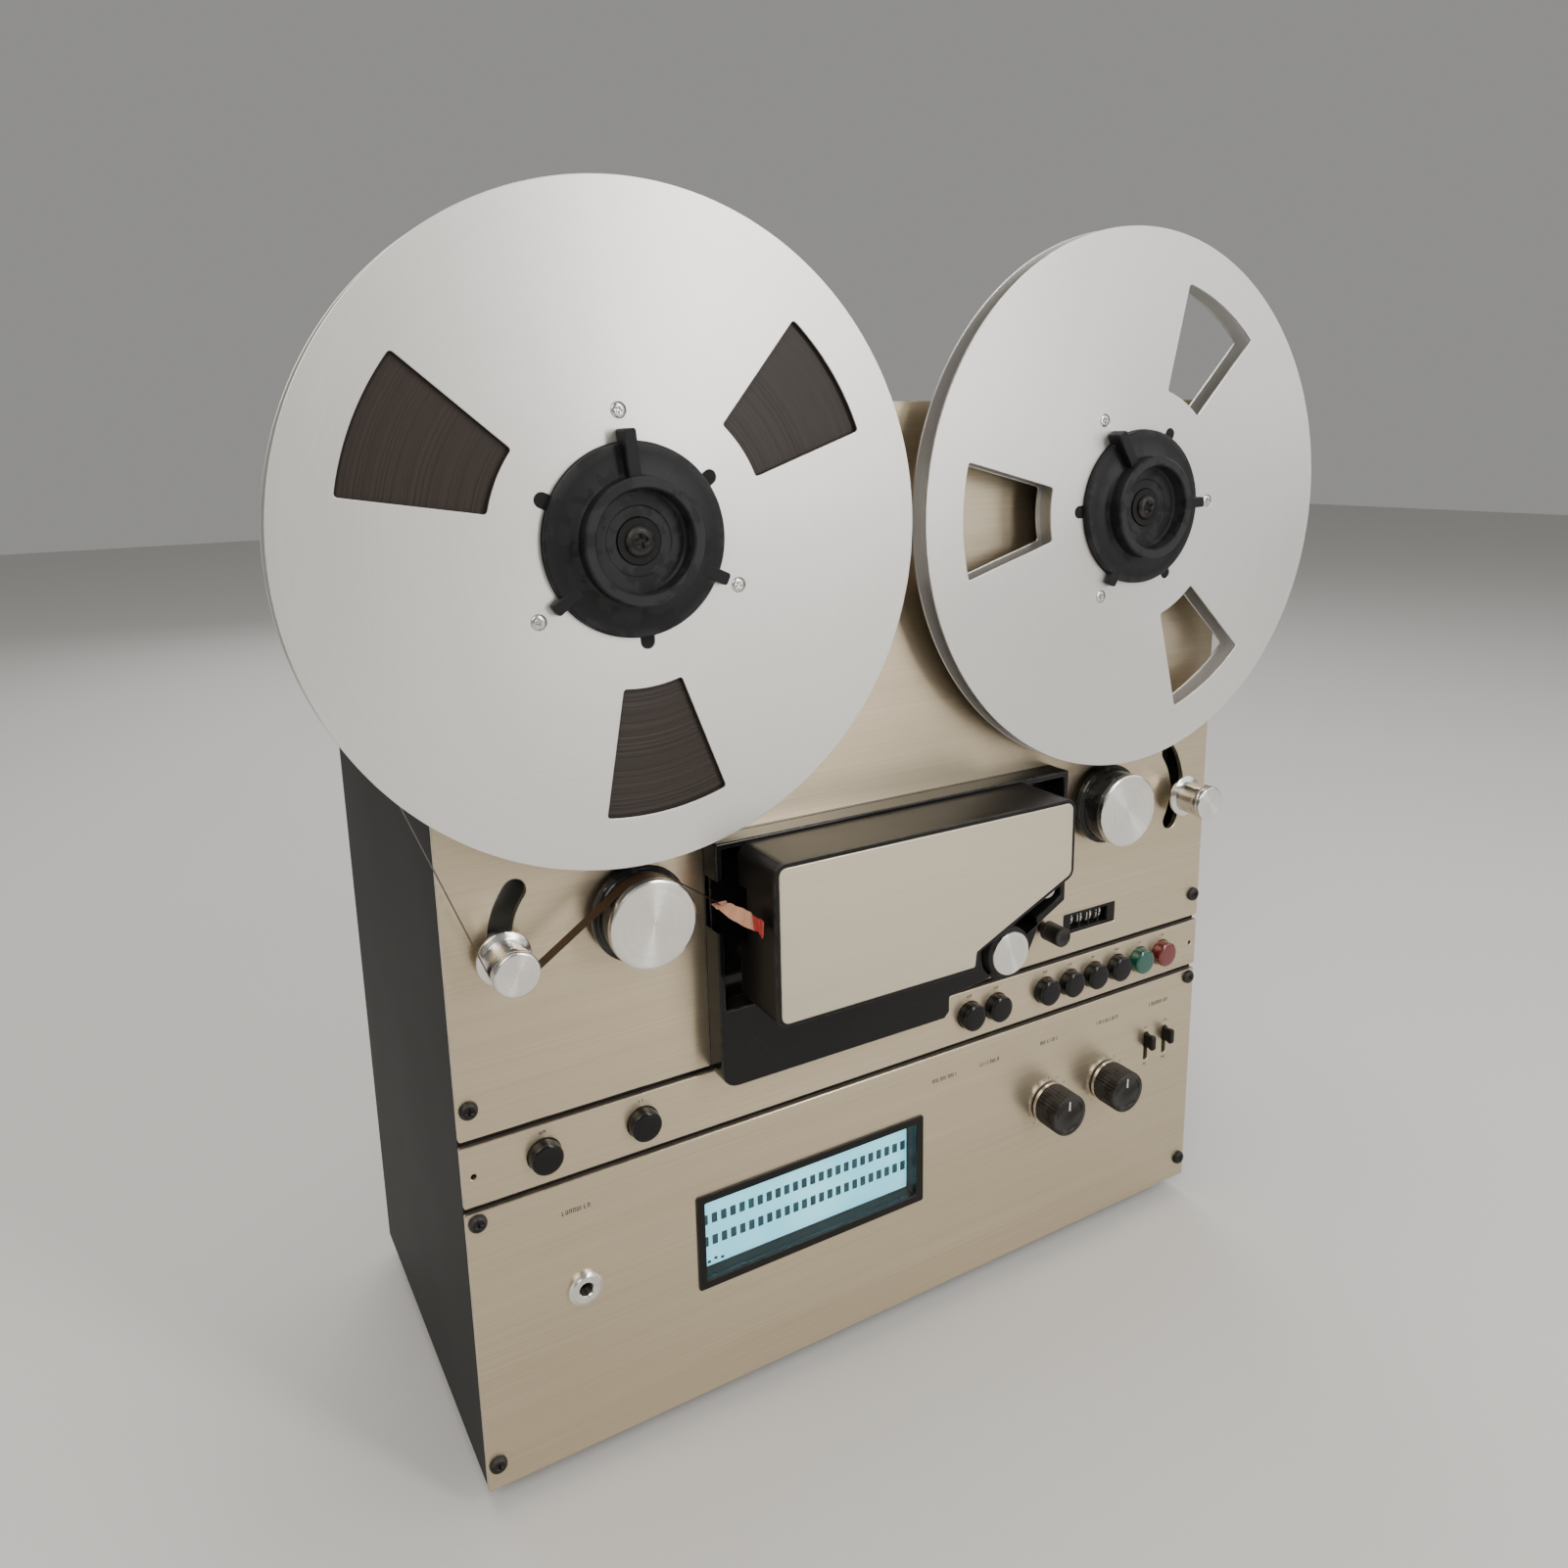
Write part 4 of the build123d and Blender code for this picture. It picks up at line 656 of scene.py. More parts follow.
def roundedLoop(points, radii, steps=6):
    # outline with each corner rounded; radii is one number or one for each corner
    if isinstance(radii, (int, float)):
        radii = [radii] * len(points)
    loop = []
    for i, radius in enumerate(radii):
        before, here, after = (Vector(points[k % len(points)]) for k in (i - 1, i, i + 1))
        if radius <= 0:
            loop.append(tuple(here))
            continue
        d0, d1 = (before - here).normalized(), (after - here).normalized()
        half = d0.angle(d1) / 2
        room = 0.49 * min((before - here).length, (after - here).length)
        reach = min(radius / math.tan(half), room)
        radius = reach * math.tan(half)
        centre = here + (d0 + d1).normalized() * (radius / math.sin(half))
        start, end = here + d0 * reach, here + d1 * reach
        a0 = math.atan2(start.y - centre.y, start.x - centre.x)
        a1 = math.atan2(end.y - centre.y, end.x - centre.x)
        turn = (a1 - a0 + math.pi) % (2 * math.pi) - math.pi
        loop += [(centre.x + radius * math.cos(a0 + turn * k / steps),
                  centre.y + radius * math.sin(a0 + turn * k / steps)) for k in range(steps + 1)]
    return loop


def rectangle(low, high, corner=0.0, steps=3):
    points = [low, (high[0], low[1]), high, (low[0], high[1])]
    return roundedLoop(points, corner, steps) if corner else points


def around(x, z, halfX, halfZ, corner=0.0, steps=3):
    return rectangle((x - halfX, z - halfZ), (x + halfX, z + halfZ), corner, steps)


def outlineOf(node, corner, steps=3, shrink=0.0):
    # a node's box seen from the front, drawn in by shrink on each side
    low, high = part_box(node)
    return rectangle((low.x + shrink, low.z + shrink), (high.x - shrink, high.z - shrink), corner, steps)


def circle(centre, radius, count=64):
    return [polar(radius, 360 * k / count, centre) for k in range(count)]


def joinMeshes(name, objects, finish, body, stands=()):
    # one piece out of several small ones that share a finish
    bpy.context.view_layer.update()
    joined = bmesh.new()
    layer = joined.verts.layers.float.new("rimWear")
    for piece in objects:
        part = bmesh.new()
        part.from_mesh(piece.data)
        part.transform(piece.matrix_world)
        source = part.verts.layers.float.get("rimWear")
        table = {v: joined.verts.new(v.co) for v in part.verts}
        for old, new in table.items():
            new[layer] = old[source] if source else 0.0
        for face in part.faces:
            made = joined.faces.new([table[v] for v in face.verts])
            made.smooth = face.smooth
        for edge in part.edges:
            if not edge.smooth:
                joined.edges.get([table[v] for v in edge.verts]).smooth = False
        part.free()
        bpy.data.objects.remove(piece)
    mesh = bpy.data.meshes.new(name)
    joined.to_mesh(mesh)
    joined.free()
    mesh.materials.append(finishes[finish])
    return handOver(linkPiece(name, mesh), body, stands)


def cutBox(piece, centre, size):
    # carves a box out of a piece
    bpy.ops.mesh.primitive_cube_add(size=1.0, location=centre)
    cutter = bpy.context.object
    cutter.scale = size
    carve = piece.modifiers.new("carve", "BOOLEAN")
    carve.operation = "DIFFERENCE"
    carve.solver = "EXACT"
    carve.object = cutter
    bpy.context.view_layer.update()
    graph = bpy.context.evaluated_depsgraph_get()
    result = bpy.data.meshes.new_from_object(piece.evaluated_get(graph))
    piece.modifiers.clear()
    piece.data = result
    bpy.data.objects.remove(cutter)


def looseTurned(name, profile, centre, count=48):
    # a turned shape that still has to be joined to others
    mesh, rim = turnedMesh(name, profile, count)
    markPoints(mesh, "rimWear", rim)
    softenMesh(mesh, 30)
    piece = linkPiece(name, mesh)
    piece.location = (centre[0], 0.0, centre[1])
    return piece


def loosePlate(name, loops, front, back, edge, steps=2):
    mesh, rim = plateMesh(name, loops, front, back, edge, steps=steps)
    markPoints(mesh, "rimWear", rim)
    return linkPiece(name, mesh)


# Camera, lights and floor
viewPoint = {"place": (-0.3175, -0.5271, 0.4691), "turn": 29.93, "drop": 12.24, "roll": -1.19,
             "lens": 27.0, "rise": -0.06}


def setCamera():
    data = bpy.data.cameras.new("viewCamera")
    data.sensor_width = 36.0
    data.lens = viewPoint["lens"]
    data.shift_y = viewPoint["rise"]
    data.clip_start = 0.02
    camera = linkPiece("viewCamera", data)
    turn = Matrix.Rotation(-math.radians(viewPoint["turn"]), 4, "Z")
    drop = Matrix.Rotation(math.radians(90 - viewPoint["drop"]), 4, "X")
    roll = Matrix.Rotation(math.radians(viewPoint["roll"]), 4, "Z")
    camera.matrix_world = Matrix.Translation(viewPoint["place"]) @ turn @ drop @ roll
    bpy.context.scene.camera = camera


lightRig = [
    {"name": "keySoft", "place": (-1.3, -1.7, 1.9), "size": (1.5, 1.5), "power": 42.0, "tint": (1.0, 0.95, 0.88)},
    {"name": "fillSoft", "place": (1.9, -1.5, 1.2), "size": (1.8, 1.8), "power": 16.0, "tint": (0.93, 0.96, 1.0)},
    {"name": "topSoft", "place": (0.0, 0.3, 2.3), "size": (1.6, 1.6), "power": 26.0, "tint": (1.0, 0.98, 0.95)},
    {"name": "stripSoft", "place": (0.78, -1.75, 1.05), "size": (0.34, 1.7), "power": 24.0,
     "tint": (1.0, 0.98, 0.95)},
    {"name": "rearSoft", "place": (0.6, 2.1, 1.4), "size": (1.6, 1.6), "power": 16.0, "tint": (1.0, 1.0, 1.0)},
]


def setStudio():
    world = bpy.data.worlds.new("paleStudio")
    bpy.context.scene.world = world
    world.use_nodes = True
    ground = world.node_tree.nodes["Background"]
    ground.inputs[0].default_value = (0.86, 0.85, 0.83, 1.0)
    ground.inputs[1].default_value = 0.34
    for lamp in lightRig:
        data = bpy.data.lights.new(lamp["name"], "AREA")
        data.shape = "RECTANGLE"
        data.size, data.size_y = lamp["size"]
        data.energy = lamp["power"]
        data.color = lamp["tint"]
        light = linkPiece(lamp["name"], data)
        light.location = lamp["place"]
        aim = Vector((0.0, 0.0, 0.3)) - Vector(lamp["place"])
        light.rotation_euler = aim.to_track_quat("-Z", "Y").to_euler()
    mesh = bpy.data.meshes.new("paleFloor")
    reach = 6.0
    mesh.from_pydata([(-reach, -reach, 0), (reach, -reach, 0), (reach, reach, 0), (-reach, reach, 0)],
                     [], [(0, 1, 2, 3)])
    floor = linkPiece("paleFloor", mesh)
    material, tree, shader = newFinish("floorPaper")
    haze = addNode(tree, "ShaderNodeTexNoise", Scale=3.0, Detail=4.0)
    tree.links.new(mixTones(tree, haze.outputs[0], (0.60, 0.59, 0.57), (0.66, 0.65, 0.63)),
                   shader.inputs["Base Color"])
    shader.inputs["Roughness"].default_value = 0.8
    mesh.materials.append(material)


setCamera()
setStudio()
print("stage: camera, lights and floor")


# Reels
reelShape = {"bore": 38.1 * mm, "notchReach": 43.5 * mm, "notchHalf": 3.0 * mm, "windowIn": 59.0 * mm,
             "windowOut": 112.0 * mm, "inHalf": 12.5, "outHalf": 14.0, "corner": 3.0 * mm,
             "sheet": 1.0 * mm, "edge": 0.22 * mm, "screwRing": 49.7 * mm, "screwHole": 3.2 * mm,
             "turn": {"supply": 35.0, "takeup": 61.0}}


def windowLoop(centre, degrees):
    s = reelShape
    innerSteps, outerSteps = 10, 18
    loop = arc(centre, s["windowIn"], degrees - s["inHalf"], degrees + s["inHalf"], innerSteps)
    loop += arc(centre, s["windowOut"], degrees + s["outHalf"], degrees - s["outHalf"], outerSteps)
    corners = (0, innerSteps, innerSteps + 1, len(loop) - 1)
    return roundedLoop(loop, [s["corner"] if i in corners else 0.0 for i in range(len(loop))], 5)


def boreLoop(centre, turn):
    s = reelShape
    half = math.degrees(math.asin(s["notchHalf"] / s["bore"]))
    loop = []
    for i in range(3):
        at = turn + 120 * i
        tip = polar(s["notchReach"] - s["notchHalf"], at, centre)
        loop += arc(tip, s["notchHalf"], at - 90, at + 90, 10)
        loop += arc(centre, s["bore"], at + half, at + 120 - half, 40)
    return loop


def flangeScrews(name):
    # the three screws of a reel stand midway between its windows
    first, centre = reelShape["turn"][name] + 60, spot(name + "_reel_flanges")
    return [polar(reelShape["screwRing"], first + 120 * i, centre) for i in range(3)]


def makeFlanges(name):
    s = reelShape
    node = name + "_reel_flanges"
    low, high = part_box(node)
    centre, turn, sheet = spot(node), s["turn"][name], s["sheet"]
    loops = [circle(centre, (high.x - low.x) / 2, 256), boreLoop(centre, turn)]
    loops += [windowLoop(centre, turn + 120 * i) for i in range(3)]
    loops += [circle(p, s["screwHole"], 24) for p in flangeScrews(name)]
    for label, front in (("Front", low.y), ("Back", high.y - sheet)):
        addPlate(name + "Flange" + label, loops, front, front + sheet, s["edge"], "reelSatin",
                 name + "_reel", "flange_aluminium", [node], (centre[0], 0.0, centre[1]))


# Hub locks, in millimetres: a dished disc, a raised collar and three tabs, the first one tall
lockShape = {"floor": 4.0, "collarOut": 25.0, "collarIn": 20.5, "edge": 37.9, "tabReach": 42.9,
             "tabHalf": 2.6, "spigot": 9.1}


def makeHubLock(name):
    s = lockShape
    low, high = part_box(name + "_hub_lock")
    centre = spot(name + "_reel_flanges")
    back, face = high.y, high.y - s["floor"] * mm
    edge, outer, inner, spigot = s["edge"], s["collarOut"], s["collarIn"], s["spigot"]
    dish = profileAt(back, [(spigot, 0), (edge, 0)])
    dish += profileAt(face, [(edge, 1.6), (edge - 0.7, 0.9), (edge - 4.0, 0.55), (outer + 1.2, 0.1),
                             (outer + 0.2, -0.5), (outer, -1.5)])
    dish += profileAt(low.y, [(outer, 0.7), (outer - 0.7, 0), (inner + 0.6, 0), (inner, 0.6)])
    dish += profileAt(face, [(inner - 0.6, -0.8), (inner - 1.6, 0.02), (14.0, 0.02), (13.4, 0.6),
                             (spigot + 0.5, 0.6), (spigot, 1.0)])
    dish += profileAt(back, [(spigot, 0)])
    pieces = [looseTurned(name + "Dish", dish, centre, 96)]
    start, end = (outer - 1.0) * mm, s["tabReach"] * mm
    for i in range(3):
        along = Vector(polar(1.0, reelShape["turn"][name] + 60 + 120 * i))
        side = Vector((-along.y, along.x)) * s["tabHalf"] * mm
        corners = [along * start - side, along * end - side, along * end + side, along * start + side]
        loop = roundedLoop([(centre[0] + c.x, centre[1] + c.y) for c in corners],
                           [0.0, 1.2 * mm, 1.2 * mm, 0.0], 4)
        top = face - 4.5 * mm if i == 0 else face + 0.35 * mm
        pieces.append(loosePlate(name + "Tab", [loop], top, back, 0.5 * mm))
    joinMeshes(name + "HubLock", pieces, "hubPlastic", name + "_lock", [name + "_hub_lock"])


packShape = {"inner": 57.3 * mm, "turns": 150, "uneven": 0.16 * mm}


def makeTapePack():
    # the wound face is uneven, because the turns of tape don't lie quite flush
    s = packShape
    low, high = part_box("supply_tape_pack")
    inner, outer, turns = s["inner"], (high.x - low.x) / 2, s["turns"]
    front = [(inner + (outer - inner) * k / turns, low.y + random.random() * s["uneven"])
             for k in range(turns + 1)]
    profile = [(inner, high.y)] + front + [(outer, high.y), (inner, high.y)]
    addTurned("supplyTapePack", profile, spot("supply_tape_pack"), "tapeOxide", "supply_reel",
              ["supply_tape_pack"], 192, 75.0)


for reelName in reelNames:
    makeFlanges(reelName)
    makeHubLock(reelName)
makeTapePack()
print("stage: reels and hubs")


# Rollers, in millimetres
guideShape = {"body": 19.5, "cap": 19.7, "bore": 5.1, "flange": 4.0, "capDeep": 3.5}
tensionShape = {"cap": 9.5, "waist": 8.7, "axle": 3.1, "disc": 2.0, "capDeep": 6.2}


def makeGuideRoller(name):
    s = guideShape
    node = name + "_guide_roller"
    low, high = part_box(node)
    body, cap, bore, flange = s["body"], s["cap"], s["bore"], (high.x - low.x) / 2 / mm
    capBack = low.y + s["capDeep"] * mm
    profile = profileAt(high.y, [(bore, 0), (flange - 0.9, 0), (flange, -0.9)])
    profile += profileAt(high.y - s["flange"] * mm, [(flange, 0.7), (flange - 0.7, 0), (body + 0.6, 0),
                                                     (body, -0.5)])
    profile += profileAt(capBack, [(body, 0.5), (body - 0.6, 0), (bore, 0)]) + profileAt(high.y, [(bore, 0)])
    addTurned(name + "GuideBody", profile, spot(node), "glossBlack", name + "_guide",
              [node], 128)
    profile = profileAt(capBack, [(bore, 0), (body - 0.4, 0), (cap, -0.3)])
    profile += profileAt(low.y, [(cap, 1.0), (cap - 0.25, 0.4), (cap - 0.9, 0.08)])
    profile += turnedFace(cap - 1.2, low.y + 0.02 * mm, 26, 0) + profileAt(low.y, [(0, 0.25)])
    addTurned(name + "GuideCap", profile, spot(node), "turnedCap", name + "_guide",
              [node], 128, 40.0)


def makeTensionRoller(name):
    s = tensionShape
    node = name + "_tension_roller"
    low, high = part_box(node)
    cap, waist, axle, disc = s["cap"], s["waist"], s["axle"], (high.x - low.x) / 2 / mm
    profile = profileAt(high.y, [(axle, 0), (disc - 0.5, 0), (disc, -0.5)])
    profile += profileAt(high.y - s["disc"] * mm, [(disc, 0.4), (disc - 0.5, 0), (waist + 0.6, 0),
                                                   (waist, -0.4)])
    profile += profileAt(low.y + s["capDeep"] * mm, [(waist, 0.3), (cap - 0.3, 0), (cap, -0.4)])
    profile += profileAt(low.y, [(cap, 2.6), (cap - 0.25, 2.3), (cap, 2.0), (cap, 0.8), (cap - 0.3, 0.25),
                                 (cap - 0.9, 0)])
    profile += turnedFace(cap - 0.9, low.y, 12) + profileAt(low.y, [(0, 0.2)])
    addTurned(name + "TensionRoller", profile, spot(node), "turnedCap", name + "_arm_roller",
              [node], 96, 40.0)


for reelName in reelNames:
    makeGuideRoller(reelName)
    makeTensionRoller(reelName)
print("stage: rollers")


# Front panels
panelShape = {"edge": 0.5 * mm, "shaftHole": 12.0 * mm, "guideHole": 5.1 * mm, "armSlotWidth": 10.0 * mm,
              "armPivot": (0.160, 0.267), "armReach": 37.0 * mm, "slotFirst": -29.0, "slotLast": 38.0,
              "capstanHole": 6.0 * mm, "resetHole": 2.8 * mm, "bezelHole": ((0.11325, 0.19715), (0.15175, 0.20885)),
              "buttonHole": 7.38 * mm, "knobHole": 4.0 * mm, "socketHole": 6.0 * mm, "screwHole": 1.7 * mm,
              "screwSide": 0.215, "screwRows": (0.470, 0.1992, 0.1464, 0.025),
              "stripHole": 1.2 * mm, "stripRow": 0.1682}
buttonNodes = [n for n in cadNodes if n.endswith("_button")]
knobNodes, leverNodes = ("input_level_knob", "output_level_knob"), ("input_lever", "output_lever")
screwSpots = [(side * panelShape["screwSide"], z) for z in panelShape["screwRows"] for side in (-1, 1)]


def armSlotLoop(side):
    s = panelShape
    pivot, reach, half = s["armPivot"], s["armReach"], s["armSlotWidth"] / 2
    first, last = s["slotFirst"], s["slotLast"]
    loop = arc(pivot, reach + half, first, last, 20)
    loop += arc(polar(reach, last, pivot), half, last, last + 180, 10)[1:-1]
    loop += arc(pivot, reach - half, last, first, 20)
    loop += arc(polar(reach, first, pivot), half, first - 180, first, 10)[1:-1]
    return [(side * x, z) for x, z in loop]


def makePanel(name, node, corner, holes, screwed=True):
    s = panelShape
    low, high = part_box(node)
    loops = [outlineOf(node, corner)] + holes
    if screwed:
        loops += [circle(p, s["screwHole"], 20) for p in screwSpots if low.z < p[1] < high.z]
    addPlate(name, loops, low.y, high.y, s["edge"], "champagnePanel", "root", "panel_champagne", [node])


def makePanels():
    s = panelShape
    holes = []
    for side, name in zip((-1, 1), reelNames):
        holes += [circle(spot(name + "_turntable"), s["shaftHole"], 48),
                  circle(spot(name + "_guide_roller"), s["guideHole"], 32), armSlotLoop(side)]
    holes += [circle(spot("capstan_flywheel"), s["capstanHole"], 32), rectangle(*s["bezelHole"], 0.6 * mm),
              circle(spot("counter_reset"), s["resetHole"], 24)]
    makePanel("upperPanel", "transport_panel", 1.0 * mm, holes)

    holes = [circle(spot(node), s["buttonHole"], 48) for node in buttonNodes]
    holes += [circle((side * s["screwSide"], s["stripRow"]), s["stripHole"], 20) for side in (-1, 1)]
    makePanel("controlStrip", "control_strip", 0.8 * mm, holes, screwed=False)

    holes = [outlineOf("meter_unit", 0.5 * mm, shrink=3 * mm)]
    holes += [circle(spot(node), s["knobHole"], 32) for node in knobNodes]
    for node in leverNodes:
        low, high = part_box(node)
        holes.append(rectangle((low.x - 0.1 * mm, low.z - 8.3 * mm), (high.x + 0.1 * mm, high.z + 0.3 * mm),
                               0.8 * mm))
    holes.append(circle(spot("headphone_jack"), s["socketHole"], 32))
    makePanel("lowerPanel", "lower_panel", 1.0 * mm, holes)


makePanels()
print("stage: panels")


# Cabinet wrap, with softly rolled front and back edges and folded corners
cabinetShape = {"wall": 2.0 * mm, "corner": 2.2 * mm, "edge": 0.7 * mm}


def makeCabinet():
    s = cabinetShape
    low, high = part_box("cabinet_wrap")
    loops = [outlineOf("cabinet_wrap", s["corner"], 6), outlineOf("cabinet_wrap", s["corner"] * 0.3, 6, s["wall"])]
    addPlate("cabinetWrap", loops, low.y, high.y, s["edge"], "cabinetEnamel", "root", "cabinet_black",
             ["cabinet_wrap"], steps=3)


makeCabinet()


# Rear cover: pressed louvre slots under each reel and an opening for the sockets
rearShape = {"ventHalf": 35.0 * mm, "ventWidth": 5.0 * mm, "pitch": 12.0 * mm, "rows": 8, "first": 0.390,
             "middle": 0.137, "opening": ((-0.169, 0.048), (-0.011, 0.092)),
             "screwSide": 0.212, "screwRows": (0.022, 0.2475, 0.473)}


def makeRearCover():
    s = rearShape
    low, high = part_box("rear_cover")
    loops = [outlineOf("rear_cover", 1.0 * mm)]
    for side in (-1, 1):
        for row in range(s["rows"]):
            loops.append(around(side * s["middle"], s["first"] - row * s["pitch"], s["ventHalf"],
                                s["ventWidth"] / 2, s["ventWidth"] * 0.48, 6))
        for z in s["screwRows"]:
            loops.append(circle((side * s["screwSide"], z), s["ventWidth"] * 0.33, 16))
    loops.append(rectangle(*s["opening"], 2.0 * mm, 4))
    addPlate("rearCover", loops, low.y, high.y, 0.3 * mm, "cabinetEnamel", "root", "cabinet_black",
             ["rear_cover"])


makeRearCover()
print("stage: cabinet")


# Feet and rear bumpers
footShape = {"radius": 15.0, "bumper": 9.0, "round": 2.0, "side": 0.180, "bumperSide": 0.220 - 0.026,
             "bumperIn": 26 * mm, "inShare": 0.14}


def makeFeet():
    s = footShape
    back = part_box("cabinet_feet")[1].y
    low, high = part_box("cabinet_wrap")
    depth, tall = high.y - low.y, low.z / mm
    r, t, b = s["radius"], s["round"], s["bumper"]
    profile = profileAt(0.0, [(0, 0), (2.6, 0), (2.6, 3.0), (5.0, 3.0), (5.0, 0), (r - t, 0), (r - 0.6, 0.7),
                              (r, t), (r, tall * 0.72), (r - 0.5, tall * 0.76), (r - 0.5, tall), (0, tall)])
    bumper = profileAt(high.y, [(0, 0), (b, 0)])
    bumper += profileAt(back, [(b, -1.6), (b - 0.5, -0.6), (b - 1.6, 0), (3.0, 0), (2.4, -0.8), (0, -0.8)])
    feet = []
    for side in (-1, 1):
        for y in (low.y + s["inShare"] * depth, high.y - s["inShare"] * depth):
            foot = looseTurned("foot", profile, (0.0, 0.0), 64)
            place = Matrix.Translation((side * s["side"], y, 0.0))
            foot.matrix_world = place @ Matrix.Rotation(math.pi / 2, 4, "X")
            feet.append(foot)
        for z in (low.z + s["bumperIn"], high.z - s["bumperIn"]):
            feet.append(looseTurned("bumper", bumper, (side * s["bumperSide"], z), 48))
    joinMeshes("cabinetFeet", feet, "tyreRubber", "root", ["cabinet_feet"])


makeFeet()


# Screws: domed heads with a cross recess
screwShape = {"panel": (4.0 * mm, 2.5 * mm), "flange": (3.05 * mm, 0.95 * mm), "hub": (6.0 * mm, 2.0 * mm),
              "count": 48, "dome": ((1.0, 0.0), (1.0, 0.35), (0.93, 0.66), (0.76, 0.88), (0.56, 0.99)),
              "armShare": 0.5, "armHalfShare": 0.13, "recess": 0.55}


def crossHead(place, facing, size):
    # rings over the dome, then two rings in the outline of a cross, the second sunk
    s = screwShape
    head, height = size
    bm = bmesh.new()
    layer = bm.verts.layers.float.new("rimWear")
    count = s["count"]
    rings = []

    def addRing(points, y, worn):
        ring = [bm.verts.new((x, -y, z)) for x, z in points]
        for v in ring:
            v[layer] = worn
        rings.append(ring)

    for r, y in s["dome"]:
        addRing(circle((0.0, 0.0), head * r, count), height * y, 1.0 if 0 < y < 0.9 else 0.0)
    arm, half = head * s["armShare"], head * s["armHalfShare"]
    cross = []
    for k in range(count):
        turn = 2 * math.pi * k / count
        small, big = sorted((abs(math.cos(turn)), abs(math.sin(turn))))
        reach = min(arm, arm / big, half / small if small > 1e-6 else arm)
        cross.append((reach * math.cos(turn), reach * math.sin(turn)))
    addRing(cross, height, 0.6)
    addRing(cross, height - s["recess"] * height, 0.0)
    for low, high in zip(rings, rings[1:]):
        for k in range(count):
            n = (k + 1) % count
            bm.faces.new((low[k], low[n], high[n], high[k])).smooth = True
    bm.faces.new(rings[-1][::-1]).smooth = False
    screw = linkPiece("screwHead", settleMesh(bm, "screwHead"))
    spin = random.uniform(0, math.pi)
    screw.matrix_world = (Matrix.Translation(place) @ Matrix.Rotation(0 if facing < 0 else math.pi, 4, "Z")
                          @ Matrix.Rotation(spin, 4, "Y"))
    return screw


def makeScrews():
    s, rear = screwShape, rearShape
    heads = [crossHead((x, panelY, z), -1, s["panel"]) for x, z in screwSpots]
    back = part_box("rear_cover")[1].y
    heads += [crossHead((side * rear["screwSide"], back, z), 1, s["panel"])
              for side in (-1, 1) for z in rear["screwRows"]]
    joinMeshes("panelScrews", heads, "satinBlack", "root", ["panel_screws"])
    sheet = reelShape["sheet"]
    for name in reelNames:
        low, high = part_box(name + "_reel_flanges")
        heads = [crossHead((x, y, z), facing, s["flange"]) for x, z in flangeScrews(name)
                 for y, facing in ((low.y + sheet, -1), (high.y - sheet, 1))]
        joinMeshes(name + "ReelScrews", heads, "groundSteel", name + "_reel",
                   [name + "_reel_screws"])
        x, z = spot(name + "_reel_flanges")
        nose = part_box(name + "_turntable")[0].y
        joinMeshes(name + "HubScrew", [crossHead((x, nose, z), -1, s["hub"])], "satinBlack", name + "_reel",
                   [name + "_reel_screws"])


makeScrews()
print("stage: feet and screws")


# Head housing: a glossy raised bed with a sunken bay for the heads and the pinch roller
housingShape = {"edge": 0.7 * mm, "front": -0.0947, "floor": 2.0 * mm, "slotBack": -0.0835, "slotMiddle": 0.268,
                "slotTall": 0.024, "slots": ((-0.108, -0.0995), (0.095, 0.103)),
                "posts": ((-0.0792, 0.281), (0.059, 0.281)), "pinchPost": (0.028, 0.232)}


def sweptCircle(radius, count=48):
    # outline of a circle carried along the pinch roller's swing
    pivot, start = (0.028, 0.232), (0.0595, 0.2075)
    reach = math.dist(pivot, start)
    first = math.degrees(math.atan2(start[1] - pivot[1], start[0] - pivot[0]))
    last = first + 19.0
    loop = arc(pivot, reach + radius, first, last, 12)
    loop += arc(polar(reach, last, pivot), radius, last, last + 180, 24)[1:-1]
    loop += arc(pivot, reach - radius, last, first, 12)
    loop += arc(polar(reach, first, pivot), radius, first - 180, first, 24)[1:-1]
    return loop


def crossing(p, q, a, b):
    d1, d2 = (q[0] - p[0], q[1] - p[1]), (b[0] - a[0], b[1] - a[1])
    base = d1[0] * d2[1] - d1[1] * d2[0]
    if abs(base) < 1e-15:
        return None
    t = ((a[0] - p[0]) * d2[1] - (a[1] - p[1]) * d2[0]) / base
    u = ((a[0] - p[0]) * d1[1] - (a[1] - p[1]) * d1[0]) / base
    return (t, u) if 0 <= t <= 1 and 0 <= u <= 1 else None


